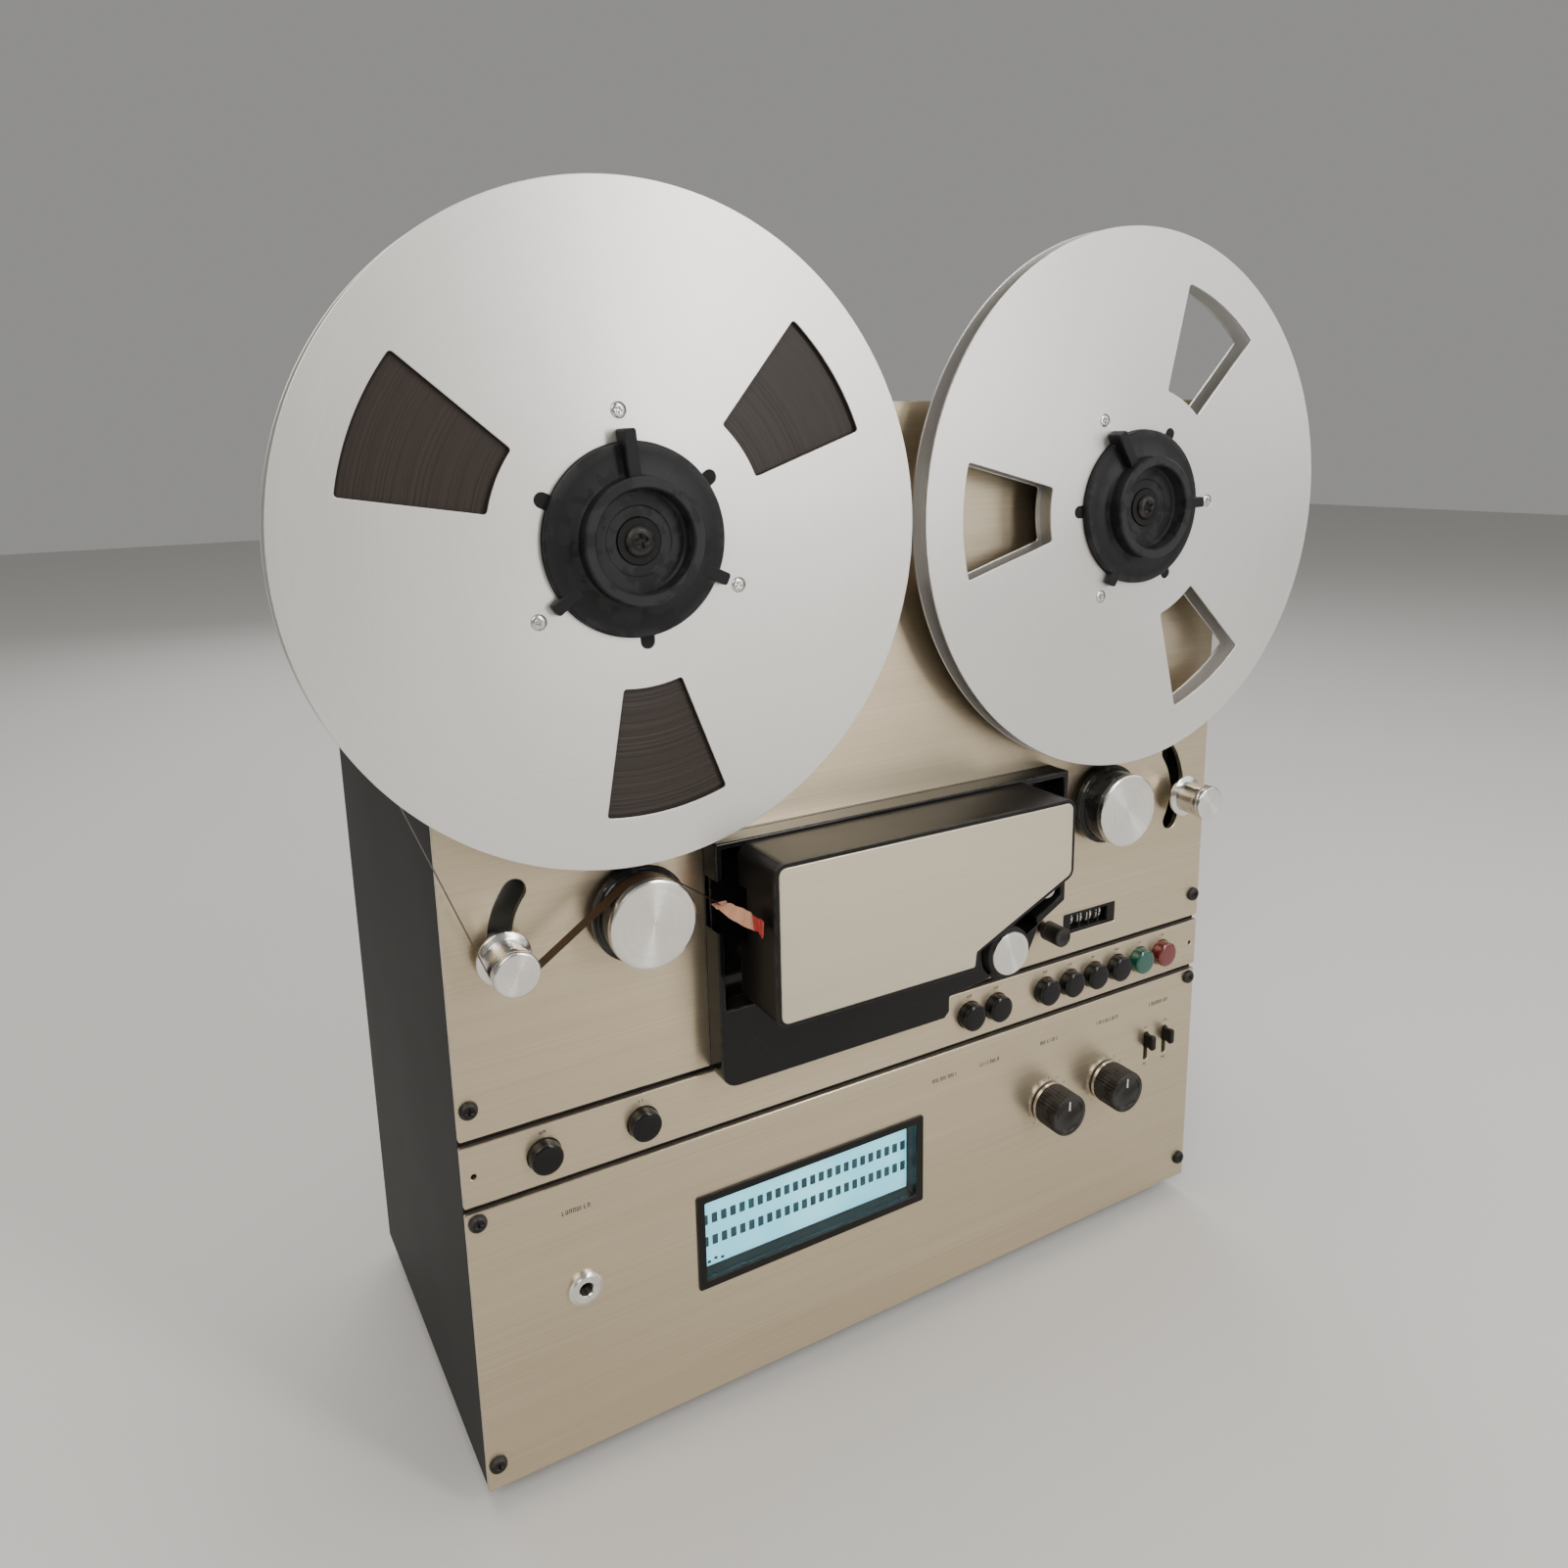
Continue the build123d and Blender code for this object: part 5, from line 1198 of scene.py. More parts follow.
def mergeLoops(first, second):
    # outline of two overlapping outlines that cross exactly twice
    first = first if signedArea(first) > 0 else first[::-1]
    second = second if signedArea(second) > 0 else second[::-1]
    cuts = []
    for i in range(len(first)):
        p, q = first[i], first[(i + 1) % len(first)]
        for j in range(len(second)):
            hit = crossing(p, q, second[j], second[(j + 1) % len(second)])
            if hit:
                cuts.append((i + hit[0], j + hit[1], (p[0] + (q[0] - p[0]) * hit[0],
                                                      p[1] + (q[1] - p[1]) * hit[0])))
    cuts.sort()

    def walk(loop, start, end):
        steps = []
        k = math.floor(start) + 1
        span = (end - start) % len(loop)
        while (k - start) <= span:
            steps.append(loop[k % len(loop)])
            k += 1
        return steps

    def within(loop, point):
        inside = False
        for a, b in zip(loop, loop[1:] + loop[:1]):
            if (a[1] > point[1]) != (b[1] > point[1]):
                if point[0] < (b[0] - a[0]) * (point[1] - a[1]) / (b[1] - a[1]) + a[0]:
                    inside = not inside
        return inside

    merged = []
    for index, (here, there, point) in enumerate(cuts):
        following = cuts[(index + 1) % len(cuts)]
        span = walk(first, here, following[0])
        probe = span[len(span) // 2] if span else point
        if not within(second, probe):
            merged += [point] + span + [following[2]]
        else:
            merged += walk(second, there, following[1])
    return tidyLoop(merged)


def housingOutline():
    left, bottom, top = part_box("head_housing")[0].x, 0.180, 0.297
    points = [(left, bottom), (0.021, bottom), (0.024, 0.183), (0.024, 0.191), (0.050, 0.1945),
              (0.052, 0.203), (0.070, 0.210), (0.100, 0.226), (0.100, top), (left, top)]
    radii = [s * mm for s in (8.0, 1.2, 1.2, 1.2, 1.2, 1.2, 2.0, 1.2, 1.0, 1.0)]
    return roundedLoop(points, radii, 5)


def bayOutline():
    left, right = -0.1015, 0.097
    points = [(left, 0.218), (0.036, 0.218), (0.047, 0.209), (0.068, 0.2135), (right, 0.229),
              (right, 0.294), (left, 0.294)]
    radii = [s * mm for s in (1.0, 0, 0, 0, 1.0, 1.0, 1.0)]
    return mergeLoops(roundedLoop(points, radii, 4), sweptCircle(15.0 * mm))


def makeHousing():
    s = housingShape
    front, back, floorY = s["front"], panelY, panelY - s["floor"]
    outer = housingOutline()
    wall = loosePlate("wall", [outer, bayOutline()], front, floorY, s["edge"], 3)
    for x0, x1 in s["slots"]:
        cutBox(wall, ((x0 + x1) / 2, front, s["slotMiddle"]),
               (x1 - x0, 2 * (s["slotBack"] - front), s["slotTall"]))
    floor = loosePlate("floor", [outer, circle(spot("capstan_flywheel"), 6.0 * mm, 40)], floorY, back,
                       0.05 * mm, 1)
    posts = [looseTurned("post", [(0.0, floorY), (3.0 * mm, floorY), (3.0 * mm, -0.1180), (2.5 * mm, -0.1185),
                                  (0.0, -0.1185)], p, 32) for p in s["posts"]]
    short = profileAt(floorY, [(0, 0), (3.0, 0), (3.0, -7.5), (2.5, -8.0), (0, -8.0)])
    posts.append(looseTurned("post", short, s["pinchPost"], 32))
    joinMeshes("headHousing", [wall, floor] + posts, "glossBlack", "root",
               ["head_housing"])


makeHousing()
print("stage: head housing")


# Head cover: satin plate framed by a black rim, on a deep black shell
coverShape = {"corner": 4.0 * mm, "rim": 1.5 * mm, "wall": 2.0 * mm, "left": -0.0922, "right": 0.072,
              "slotFront": -0.1022, "slotPast": 0.001, "slotWide": 0.008, "slotMiddle": 0.264,
              "slotTall": 0.026}


def coverOutline(grow):
    left, right = coverShape["left"] - grow, coverShape["right"] + grow
    top, bottom = 0.294 + grow, 0.223 - grow
    low = bottom + 7.7 * mm
    points = [(left, bottom), (0.013 + grow, bottom), (0.0138 + grow * 0.6, low + grow * 0.4),
              (right, low + 26.5 * mm + grow * 0.3), (right, top), (left, top)]
    r = coverShape["corner"] + grow
    return roundedLoop(points, [r, 1.0 * mm, 1.2 * mm, r, r, r], 6)


def makeCover():
    s = coverShape
    plateLow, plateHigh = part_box("head_cover_plate")
    front, plateBack, shellBack = plateLow.y, plateHigh.y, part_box("head_cover_shell")[1].y
    addPlate("coverPlate", [coverOutline(-0.4 * mm)], front, plateBack, 0.35 * mm, "coverPlateSatin",
             "head_cover", "cover_plate", ["head_cover_plate"], steps=3)
    rim = loosePlate("rim", [coverOutline(s["rim"]), coverOutline(-0.3 * mm)], front + 0.4 * mm,
                     plateBack + 0.3 * mm, 0.3 * mm)
    wall = loosePlate("wall", [coverOutline(s["rim"] - 0.02 * mm), coverOutline(s["rim"] - s["wall"])],
                      plateBack + 0.1 * mm, shellBack, 0.25 * mm)
    slotBack = shellBack + s["slotPast"]
    for x in (s["left"], s["right"]):
        cutBox(wall, (x, (s["slotFront"] + slotBack) / 2, s["slotMiddle"]),
               (s["slotWide"], slotBack - s["slotFront"], s["slotTall"]))
    lid = loosePlate("lid", [coverOutline(s["rim"] - 0.6 * mm)], plateBack + 0.05 * mm,
                     plateBack + s["wall"], 0.1 * mm, 1)
    sleeve = profileAt(plateBack, [(3.1, 1.9), (5.5, 1.9)])
    sleeve += profileAt(shellBack, [(5.5, -0.3), (5.2, 0), (3.1, 0)]) + profileAt(plateBack, [(3.1, 1.9)])
    sleeves = [looseTurned("sleeve", sleeve, p, 32) for p in housingShape["posts"]]
    joinMeshes("coverShell", [rim, wall, lid] + sleeves, "satinBlack", "head_cover",
               ["head_cover_shell"])


makeCover()
print("stage: head cover")


# Pinch roller
pinchShape = {"tyre": 13.5, "cap": 11.6, "bore": 2.55, "tyreFront": -0.098175}  # radii in millimetres


def makePinchRoller():
    s = pinchShape
    low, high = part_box("pinch_roller")
    tyre, cap, bore, front = s["tyre"], s["cap"], s["bore"], s["tyreFront"]
    profile = profileAt(high.y, [(bore, 0), (tyre - 0.6, 0), (tyre, -0.6)])
    profile += profileAt(front, [(tyre, 0.6), (tyre - 0.6, 0), (cap - 1.0, 0), (cap - 1.0, 0.3), (bore, 0.3)])
    profile += profileAt(high.y, [(bore, 0)])
    addTurned("pinchTyre", profile, spot("pinch_roller"), "tyreRubber", "pinch_wheel",
              ["pinch_roller"], 96)
    profile = profileAt(front, [(0, 0.3), (cap, 0.05)])
    profile += profileAt(low.y, [(cap, 0.5), (cap - 0.2, 0.12), (cap - 0.6, 0)])
    profile += turnedFace(cap - 0.6, low.y, 14) + profileAt(low.y, [(0, 0.2)])
    addTurned("pinchCap", profile, spot("pinch_roller"), "turnedCap", "pinch_wheel",
              ["pinch_roller"], 96, 40.0)


makePinchRoller()


# Push buttons with gently domed faces
buttonShape = {"radius": 7.25 * mm, "flange": 8.4 * mm, "dome": 0.7 * mm, "round": 1.0 * mm}
buttonFinish = {"play_button": ("buttonGreen", "button_green"), "record_button": ("buttonRed", "button_red")}


def makeButton(node):
    s = buttonShape
    low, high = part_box(node)
    r, t, front = s["radius"], s["round"], low.y
    finish, slotName = buttonFinish.get(node, ("glossBlack", "button_black"))
    dome = [(r * k / 10, front + s["dome"] * (k / 10) ** 2 * 0.5) for k in range(0, 9)]
    profile = dome + [(r - t * 0.9, front + s["dome"] * 0.62), (r - t * 0.45, front + s["dome"] * 0.95),
                      (r - t * 0.14, front + s["dome"] + 0.25 * mm), (r, front + s["dome"] + 0.9 * mm),
                      (r, panelBackY + 0.1 * mm), (s["flange"], panelBackY + 0.1 * mm),
                      (s["flange"], high.y), (0.0, high.y)]
    name = node.split("_")[0] + "Button"
    addTurned(name, profile, spot(node), finish, node + "_body", [node], 64)


for node in buttonNodes:
    makeButton(node)


# Counter reset knob, in millimetres: a barrel with a dished end and a groove
resetShape = {"radius": 5.3, "stem": 2.65}


def makeReset():
    r, stem = resetShape["radius"], resetShape["stem"]
    low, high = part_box("counter_reset")
    profile = profileAt(low.y, [(0, 0.35), (r - 1.6, 0.35), (r - 1.3, 0), (r - 0.5, 0.1), (r - 0.1, 0.6),
                                (r, 1.2), (r, 9.0), (r - 0.35, 9.3), (r - 0.35, 9.8), (r, 10.1)])
    profile += profileAt(panelY, [(r, -4.2), (r - 0.3, -4.0), (stem, -4.0)])
    profile += profileAt(high.y, [(stem, -2), (stem, 0), (0, 0)])
    addTurned("counterReset", profile, spot("counter_reset"), "satinBlack", "counter_reset_body",
              ["counter_reset"], 96)


makeReset()


# Level knobs: fluted skirts, a bright ring and a white pointer line
knobShape = {"radius": 12.0 * mm, "length": 17.0 * mm, "flutes": 36, "flute": 0.35 * mm,
             "fluteSteps": 6, "grooved": (5, 6)}  # grooved are the profile points that the flutes cut


def makeKnob(node):
    s = knobShape
    low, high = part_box(node)
    x, z = spot(node)
    r, front, back = s["radius"], low.y, low.y + s["length"]
    count = s["flutes"] * s["fluteSteps"]
    levels = [(0.0, front + 0.5 * mm), (r * 0.72, front + 0.5 * mm), (r * 0.78, front), (r - 1.0 * mm, front),
              (r - 0.3 * mm, front + 0.35 * mm), (r, front + 1.1 * mm), (r, back - 2.6 * mm),
              (r - 0.9 * mm, back - 2.2 * mm), (r - 0.9 * mm, back), (3.0 * mm, back), (3.0 * mm, high.y),
              (0.0, high.y)]
    mesh, rim = turnedMesh(node.replace("_", ""), levels, count)
    for index in s["grooved"]:
        for k in range(count):
            v = mesh.vertices[1 + (index - 1) * count + k]
            wave = 0.5 - 0.5 * math.cos(2 * math.pi * k / s["fluteSteps"])
            scale = 1 - s["flute"] * wave / levels[index][0]
            v.co.x *= scale
            v.co.z *= scale
    title, body = node.split("_")[0] + "Knob", node + "_body"
    dressMesh(title, mesh, rim, "satinBlack", (x, 0.0, z), body, [node])
    line = rectangle((x - 0.45 * mm, z + 3.0 * mm), (x + 0.45 * mm, z + r * 0.70), 0.2 * mm)
    addPlate(title + "Mark", [line], front + 0.38 * mm, front + 0.6 * mm, 0.05 * mm, "digitWhite", body,
             "knob_black", [node])
    ring = [(r - 0.85 * mm, back - 2.1 * mm), (r - 0.2 * mm, back - 2.0 * mm),
            (r - 0.2 * mm, back - 0.3 * mm), (r - 0.85 * mm, back - 0.2 * mm)]
    addTurned(title + "Ring", ring, (x, z), "turnedCap", body, [node], 96)


# Selector levers: waisted caps
def makeLever(node):
    low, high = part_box(node)
    name = node.split("_")[0] + "Lever"
    mid = (low + high) / 2
    levels = [(low.y, 0.80), (low.y + 0.5 * mm, 0.95), (low.y + 1.6 * mm, 1.0), (low.y + 4.0 * mm, 0.86),
              (panelY, 1.0), (high.y, 1.0)]
    bm = bmesh.new()
    layer = bm.verts.layers.float.new("rimWear")
    rings = []
    for index, (y, share) in enumerate(levels):
        hx, hz = (high.x - low.x) / 2 * share, (high.z - low.z) / 2 * share
        loop = rectangle((mid.x - hx, mid.z - hz), (mid.x + hx, mid.z + hz), 0.5 * mm, 4)
        ring = []
        for x, z in loop:
            v = bm.verts.new((x, y, z))
            v[layer] = 1.0 if index == 1 else 0.0
            ring.append(v)
        rings.append(ring)
    for a, b in zip(rings, rings[1:]):
        for k in range(len(a)):
            n = (k + 1) % len(a)
            bm.faces.new((a[k], a[n], b[n], b[k])).smooth = True
    bm.faces.new(rings[0])
    bm.faces.new(rings[-1])
    mesh = settleMesh(bm, name)
    mesh.materials.append(finishes["satinBlack"])
    handOver(linkPiece(name, mesh), node + "_body", [node])


for side in ("input", "output"):
    makeKnob(side + "_level_knob")
    makeLever(side + "_lever")
print("stage: buttons, knobs and levers")


# Counter: black frame, four white-on-black number wheels
digitShape = {"wheel": 7.0 * mm, "radius": 5.5 * mm, "shown": (4, 6, 8, 2)}
digitStrokes = {
    0: "abcdef", 1: "bc", 2: "abged", 3: "abgcd", 4: "fgbc", 5: "afgcd", 6: "afgedc", 7: "abc",
    8: "abcdefg", 9: "abfgcd",
}
strokeSpots = {"a": ((0, 2), (1, 2)), "b": ((1, 2), (1, 1)), "c": ((1, 1), (1, 0)), "d": ((0, 0), (1, 0)),
               "e": ((0, 0), (0, 1)), "f": ((0, 1), (0, 2)), "g": ((0, 1), (1, 1))}


def makeCounter():
    s = digitShape
    low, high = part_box("counter_wheels")
    axis = (low + high) / 2
    r = s["radius"]
    lying = Matrix.Translation((0.0, axis.y, axis.z)) @ Matrix.Rotation(-math.pi / 2, 4, "Z")
    wheels = []
    digits = bmesh.new()
    for i in range(4):
        x = axis.x + (i - 1.5) * s["wheel"]
        half = s["wheel"] / 2 - 0.2 * mm
        profile = [(1.5 * mm, x - half), (r - 0.35 * mm, x - half), (r - 0.1 * mm, x - half + 0.15 * mm),
                   (r - 0.1 * mm, x + half - 0.15 * mm), (r - 0.35 * mm, x + half), (1.5 * mm, x + half)]
        wheel = looseTurned("wheel", profile, (0.0, 0.0), 60)
        wheel.matrix_world = lying
        wheels.append(wheel)
        for digit in range(10):
            base = math.radians(36 * (digit - s["shown"][i]) + 180)
            for stroke in digitStrokes[digit]:
                (u0, v0), (u1, v1) = strokeSpots[stroke]
                width, tall, thick = 1.35 * mm, 1.25 * mm, 0.28 * mm
                xa, xb = sorted((x + (u0 - 0.5) * 2 * width, x + (u1 - 0.5) * 2 * width))
                za, zb = sorted(((v0 - 1) * tall, (v1 - 1) * tall))
                xa, xb, za, zb = xa - thick, xb + thick, za - thick, zb + thick
                steps = max(1, round((zb - za) / (0.5 * mm)))
                for k in range(steps):
                    z0, z1 = (za + (zb - za) * n / steps for n in (k, k + 1))
                    corners = []
                    for px, pz in ((xa, z0), (xb, z0), (xb, z1), (xa, z1)):
                        y, z = polar(r - 0.03 * mm, math.degrees(base - pz / r), (axis.y, axis.z))
                        corners.append(digits.verts.new((px, y, z)))
                    digits.faces.new(corners)
    axle = looseTurned("axle", [(0.0, low.x), (1.5 * mm, low.x), (1.5 * mm, high.x), (0.0, high.x)],
                       (0.0, 0.0), 24)
    axle.matrix_world = lying
    joinMeshes("counterWheels", wheels + [axle], "hubPlastic", "counter_wheels_body",
               ["counter_wheels"])
    mesh = settleMesh(digits, "counterDigits")
    mesh.materials.append(finishes["digitWhite"])
    handOver(linkPiece("counterDigits", mesh), "counter_wheels_body", ["counter_wheels"])

    low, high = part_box("counter_frame")
    outer = rectangle((0.11345, 0.19735), (0.15155, 0.20865), 0.7 * mm, 4)
    openings = [around(axis.x + (i - 1.5) * s["wheel"], axis.z, 3.25 * mm, 4.4 * mm, 0.4 * mm)
                for i in range(4)]
    bezel = loosePlate("bezel", [outer] + openings, low.y, panelY + 1.6 * mm, 0.25 * mm)
    box = [outlineOf("counter_frame", 0.5 * mm), around(axis.x, axis.z, 15.5 * mm, 6.3 * mm, 0.5 * mm)]
    body = loosePlate("body", box, panelBackY + 0.05 * mm, high.y, 0.2 * mm)
    joinMeshes("counterFrame", [bezel, body], "satinBlack", "root", ["counter_frame"])


makeCounter()
print("stage: counter")


# Level meter: a black frame, a deep reveal, and a backlit scale behind glass
meterShape = {"reveal": 4.2 * mm, "cells": 24, "scale": (-0.0728, -0.0716), "back": -0.0714}


def makeMeter():
    s = meterShape
    low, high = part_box("meter_unit")
    inner = ((low.x + s["reveal"], low.z + s["reveal"]), (high.x - s["reveal"], high.z - s["reveal"]))
    frameLoop = [outlineOf("meter_unit", 1.4 * mm, 5), rectangle(*inner, 0.8 * mm, 4)]
    bezel = loosePlate("bezel", frameLoop, low.y, panelY - 0.02 * mm, 0.35 * mm, 3)
    sleeve = loosePlate("sleeve", [outlineOf("meter_unit", 0.5 * mm, shrink=3.2 * mm), frameLoop[1]],
                        panelY - 0.1 * mm, high.y, 0.05 * mm, 1)
    back = loosePlate("back", [outlineOf("meter_unit", 0.5 * mm, shrink=4 * mm)], s["back"],
                      high.y - 0.2 * mm, 0.05 * mm, 1)
    joinMeshes("meterFrame", [bezel, sleeve, back], "satinBlack", "root", ["meter_unit"])
    glassY = panelY + 0.5 * mm
    addPlate("meterGlass", [rectangle((inner[0][0] + 0.02 * mm, inner[0][1] + 0.02 * mm),
                                      (inner[1][0] - 0.02 * mm, inner[1][1] - 0.02 * mm), 0.7 * mm, 4)],
             glassY, glassY + 1.4 * mm, 0.1 * mm, "windowGlass", "root", "meter_black", ["meter_unit"])
    left, bottom = inner[0][0] + 1.0 * mm, inner[0][1] + 1.0 * mm
    right, top = inner[1][0] - 1.0 * mm, inner[1][1] - 1.0 * mm
    addPlate("meterScale", [rectangle((left, bottom), (right, top), 0.5 * mm)], *s["scale"], 0.05 * mm,
             "meterGlow", "root", "meter_black", ["meter_unit"])
    marks = []
    width = (right - left) / s["cells"]
    for row in range(2):
        z = bottom + (top - bottom) * (0.34 + 0.30 * row)
        for k in range(s["cells"]):
            x = left + width * (k + 0.5)
            marks.append([around(x, z, width * 0.30, 2.6 * mm, 0.3 * mm)])
    for k in range(9):
        x = left + (right - left) * (0.05 + 0.9 * (k / 8) ** 0.8)
        tall = (2.6 if k % 2 == 0 else 1.6) * mm
        marks.append([rectangle((x - 0.22 * mm, top - 1.4 * mm - tall), (x + 0.22 * mm, top - 1.4 * mm))])
    for k in range(3):
        x = left + (4.0 + 3.6 * k) * mm
        z = bottom + (2.4 + 0.9 * (k % 2)) * mm
        marks.append([rectangle((x - 0.9 * mm, z - 0.9 * mm), (x + 0.9 * mm, z + 0.5 * mm), 0.3 * mm, 3)])
    plates = [loosePlate("mark", loops, s["scale"][0] - 0.18 * mm, s["scale"][0], 0.0, 1) for loops in marks]
    joinMeshes("meterMarks", plates, "meterDark", "root", ["meter_unit"])


makeMeter()


# Headphone socket: a turned nut round a dark bore
def makeSocket():
    low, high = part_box("headphone_jack")
    centre, bore, nut = (-0.170, 0.096), 3.2, 8.0
    profile = profileAt(low.y, [(bore, 13.0), (bore, 0.5), (bore + 0.4, 0), (nut - 1.6, 0), (nut - 1.2, 0.35),
                                (nut, 0.8)])
    profile += profileAt(panelY, [(nut, -0.02), (5.9, -0.02)]) + profileAt(panelBackY, [(5.9, 0)])
    addTurned("socketNut", profile, centre, "turnedCap", "root", ["headphone_jack"], 96)
    block = [outlineOf("headphone_jack", 1.0 * mm, 4), circle(centre, bore * mm, 32)]
    addPlate("socketBody", block, panelBackY + 0.02 * mm, high.y - 1.5 * mm, 0.3 * mm, "satinBlack", "root",
             "head_metal", ["headphone_jack"])
    addPlate("socketEnd", [block[0]], high.y - 1.6 * mm, high.y, 0.2 * mm, "satinBlack", "root",
             "head_metal", ["headphone_jack"])


makeSocket()
print("stage: meter and socket")


# Two small screws let into the top of the cover
def makeCoverDots():
    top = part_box("head_cover_shell")[1].z - 0.12 * mm
    profile = profileAt(0.0, [(0, -0.02), (0.7, -0.02), (0.85, -0.10), (1.3, -0.10), (1.5, 0.1), (1.5, 0.3),
                              (0, 0.3)])
    dots = []
    for x in (-0.0795, 0.053):
        dot = looseTurned("dot", profile, (0.0, 0.0), 24)
        dot.matrix_world = Matrix.Translation((x, -0.113, top)) @ Matrix.Rotation(-math.pi / 2, 4, "X")
        dots.append(dot)
    joinMeshes("coverScrews", dots, "hubPlastic", "head_cover", ["head_cover_shell"])


makeCoverDots()


# Threaded tape, its wraps round the rollers, and the loose leader
tapeShape = {"half": 3.175 * mm, "thick": 0.1 * mm, "lift": 0.15 * mm, "packRadius": 124.5 * mm,
             "rollerRadius": 8.75 * mm, "guideRadius": 19.5 * mm, "leaderAngle": 53.7, "level": -0.0942,
             "leave": -149.0, "hold": 0.35}  # leave is in degrees, clear of the pack at both arm limits


def ribbonMesh(name, stations, thick, redFrom=None):
    # stations are (centre, direction across the ribbon, half width); the ribbon is closed all round
    verts, faces, tips = [], [], []
    count = len(stations)
    for index, (centre, across, half) in enumerate(stations):
        ahead = Vector(stations[min(index + 1, count - 1)][0]) - Vector(stations[max(index - 1, 0)][0])
        normal = ahead.cross(Vector(across)).normalized() * thick / 2
        centre, side = Vector(centre), Vector(across).normalized() * half
        for spot in (centre - side - normal, centre + side - normal, centre + side + normal, centre - side + normal):
            verts.append(tuple(spot))
            tips.append(1.0 if redFrom is not None and index >= redFrom else 0.0)
        if index:
            a, b = 4 * (index - 1), 4 * index
            for k in range(4):
                n = (k + 1) % 4
                faces.append((a + k, a + n, b + n, b + k))
    faces.append((3, 2, 1, 0))
    last = 4 * (count - 1)
    faces.append((last, last + 1, last + 2, last + 3))
    mesh = bpy.data.meshes.new(name)
    mesh.from_pydata(verts, [], faces)
    markPoints(mesh, "redTip", tips)
    softenMesh(mesh, 40, turnOut=True)
    return mesh


def addRibbon(name, stations, thick, finish, stands, redFrom=None):
    mesh = ribbonMesh(name, stations, thick, redFrom)
    mesh.materials.append(finishes[finish])
    piece = linkPiece(name, mesh)
    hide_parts(*stands)
    return piece


def makeTape():
    s = tapeShape
    level, across = s["level"], (0.0, 1.0, 0.0)
    reel, roller, guide = (spot("supply_" + part) for part in ("tape_pack", "tension_roller", "guide_roller"))
    packR, rollR, guideR = (s[k] + s["lift"] for k in ("packRadius", "rollerRadius", "guideRadius"))

    def tangent(first, firstR, second, secondR):
        line = math.degrees(math.atan2(second[1] - first[1], second[0] - first[0]))
        return line - math.degrees(math.acos((firstR - secondR) / math.dist(first, second)))

    a = polar(packR, s["leave"], reel)
    facing = math.degrees(math.atan2(a[1] - roller[1], a[0] - roller[0]))
    meet = facing + math.degrees(math.acos(rollR / math.dist(a, roller)))
    b = polar(rollR, meet, roller)
    under = tangent(roller, rollR, guide, -guideR)

    def straight(a, b, steps=24):
        return [((a[0] + (b[0] - a[0]) * k / steps, level, a[1] + (b[1] - a[1]) * k / steps), across, s["half"])
                for k in range(steps + 1)]

    def bent(centre, radius, first, last, steps):
        return [((x, level, z), across, s["half"]) for x, z in arc(centre, radius, first, last, steps)]

    strand = addRibbon("tapeStrandIn", straight(a, b), s["thick"], "threadedTape", ["tape_run"])
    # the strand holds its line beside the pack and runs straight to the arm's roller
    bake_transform(strand)
    wrap = addRibbon("tapeRollerWrap", bent(roller, rollR, meet % 360, under % 360, 20), s["thick"],
                     "threadedTape", ["tape_run"])
    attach(wrap, "supply_arm")
    c, d = polar(rollR, under, roller), polar(guideR, under + 180, guide)
    strand = addRibbon("tapeStrandOut", straight(c, d), s["thick"], "threadedTape", ["tape_run"])
    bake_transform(strand)

    over = (under + 180) % 360
    path = bent(guide, guideR, over, s["leaderAngle"], 24)
    first = polar(guideR, s["leaderAngle"], guide)
    slope = math.radians(s["leaderAngle"] - 90)
    length = (-0.1038 - first[0]) / math.cos(slope)
    end = (first[0] + length * math.cos(slope), first[1] + length * math.sin(slope))
    path += straight(first, end, 12)[1:]
    wrap = addRibbon("tapeGuideWrap", path, s["thick"], "threadedTape", ["tape_leader"])
    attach(wrap, "root")

    stations = []
    route = [(end[0], level, end[1]), (-0.1030, -0.0975, end[1] - 0.6 * mm), (-0.1008, -0.1025, end[1] - 2.2 * mm),
             (-0.0985, -0.1080, end[1] - 3.2 * mm), (-0.0976, -0.1130, end[1] - 3.3 * mm),
             (-0.0974, -0.1175, end[1] - 3.2 * mm), (-0.0974, -0.1205, end[1] - 3.3 * mm),
             (-0.0974, -0.1225, end[1] - 3.5 * mm), (-0.0974, -0.1235, end[1] - 3.5 * mm)]
    halves = [3.1, 2.6, 3.0, 3.8, 3.9, 3.4, 3.9, 4.1, 2.2]
    turns = [0.0, 35.0, 70.0, 84.0, 92.0, 100.0, 96.0, 90.0, 86.0]
    fine = 8
    for i in range(len(route) - 1):
        for k in range(fine):
            t = k / fine
            p = Vector(route[i]).lerp(Vector(route[i + 1]), t)
            half = halves[i] + (halves[i + 1] - halves[i]) * t
            turn = math.radians(turns[i] + (turns[i + 1] - turns[i]) * t)
            ripple = 0.18 * mm * math.sin(1.7 * (i + t) * 3.1)
            ahead = (Vector(route[i + 1]) - Vector(route[i])).normalized()
            upright = Vector((0.0, 0.0, 1.0)) - ahead * ahead.z
            level0 = Vector(across) - ahead * ahead.y
            if level0.length < 0.3:
                level0 = Vector((1.0, 0.0, 0.0))
            side = level0.normalized() * math.cos(turn) + upright.normalized() * math.sin(turn)
            stations.append((tuple(p + Vector((ripple, 0.0, 0.0))), tuple(side), half * mm))
    tail = addRibbon("leaderTail", stations, 0.28 * mm, "leaderTail", ["tape_leader"],
                     redFrom=4 * fine + 4)
    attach(tail, "root")


makeTape()
print("stage: tape and leader")


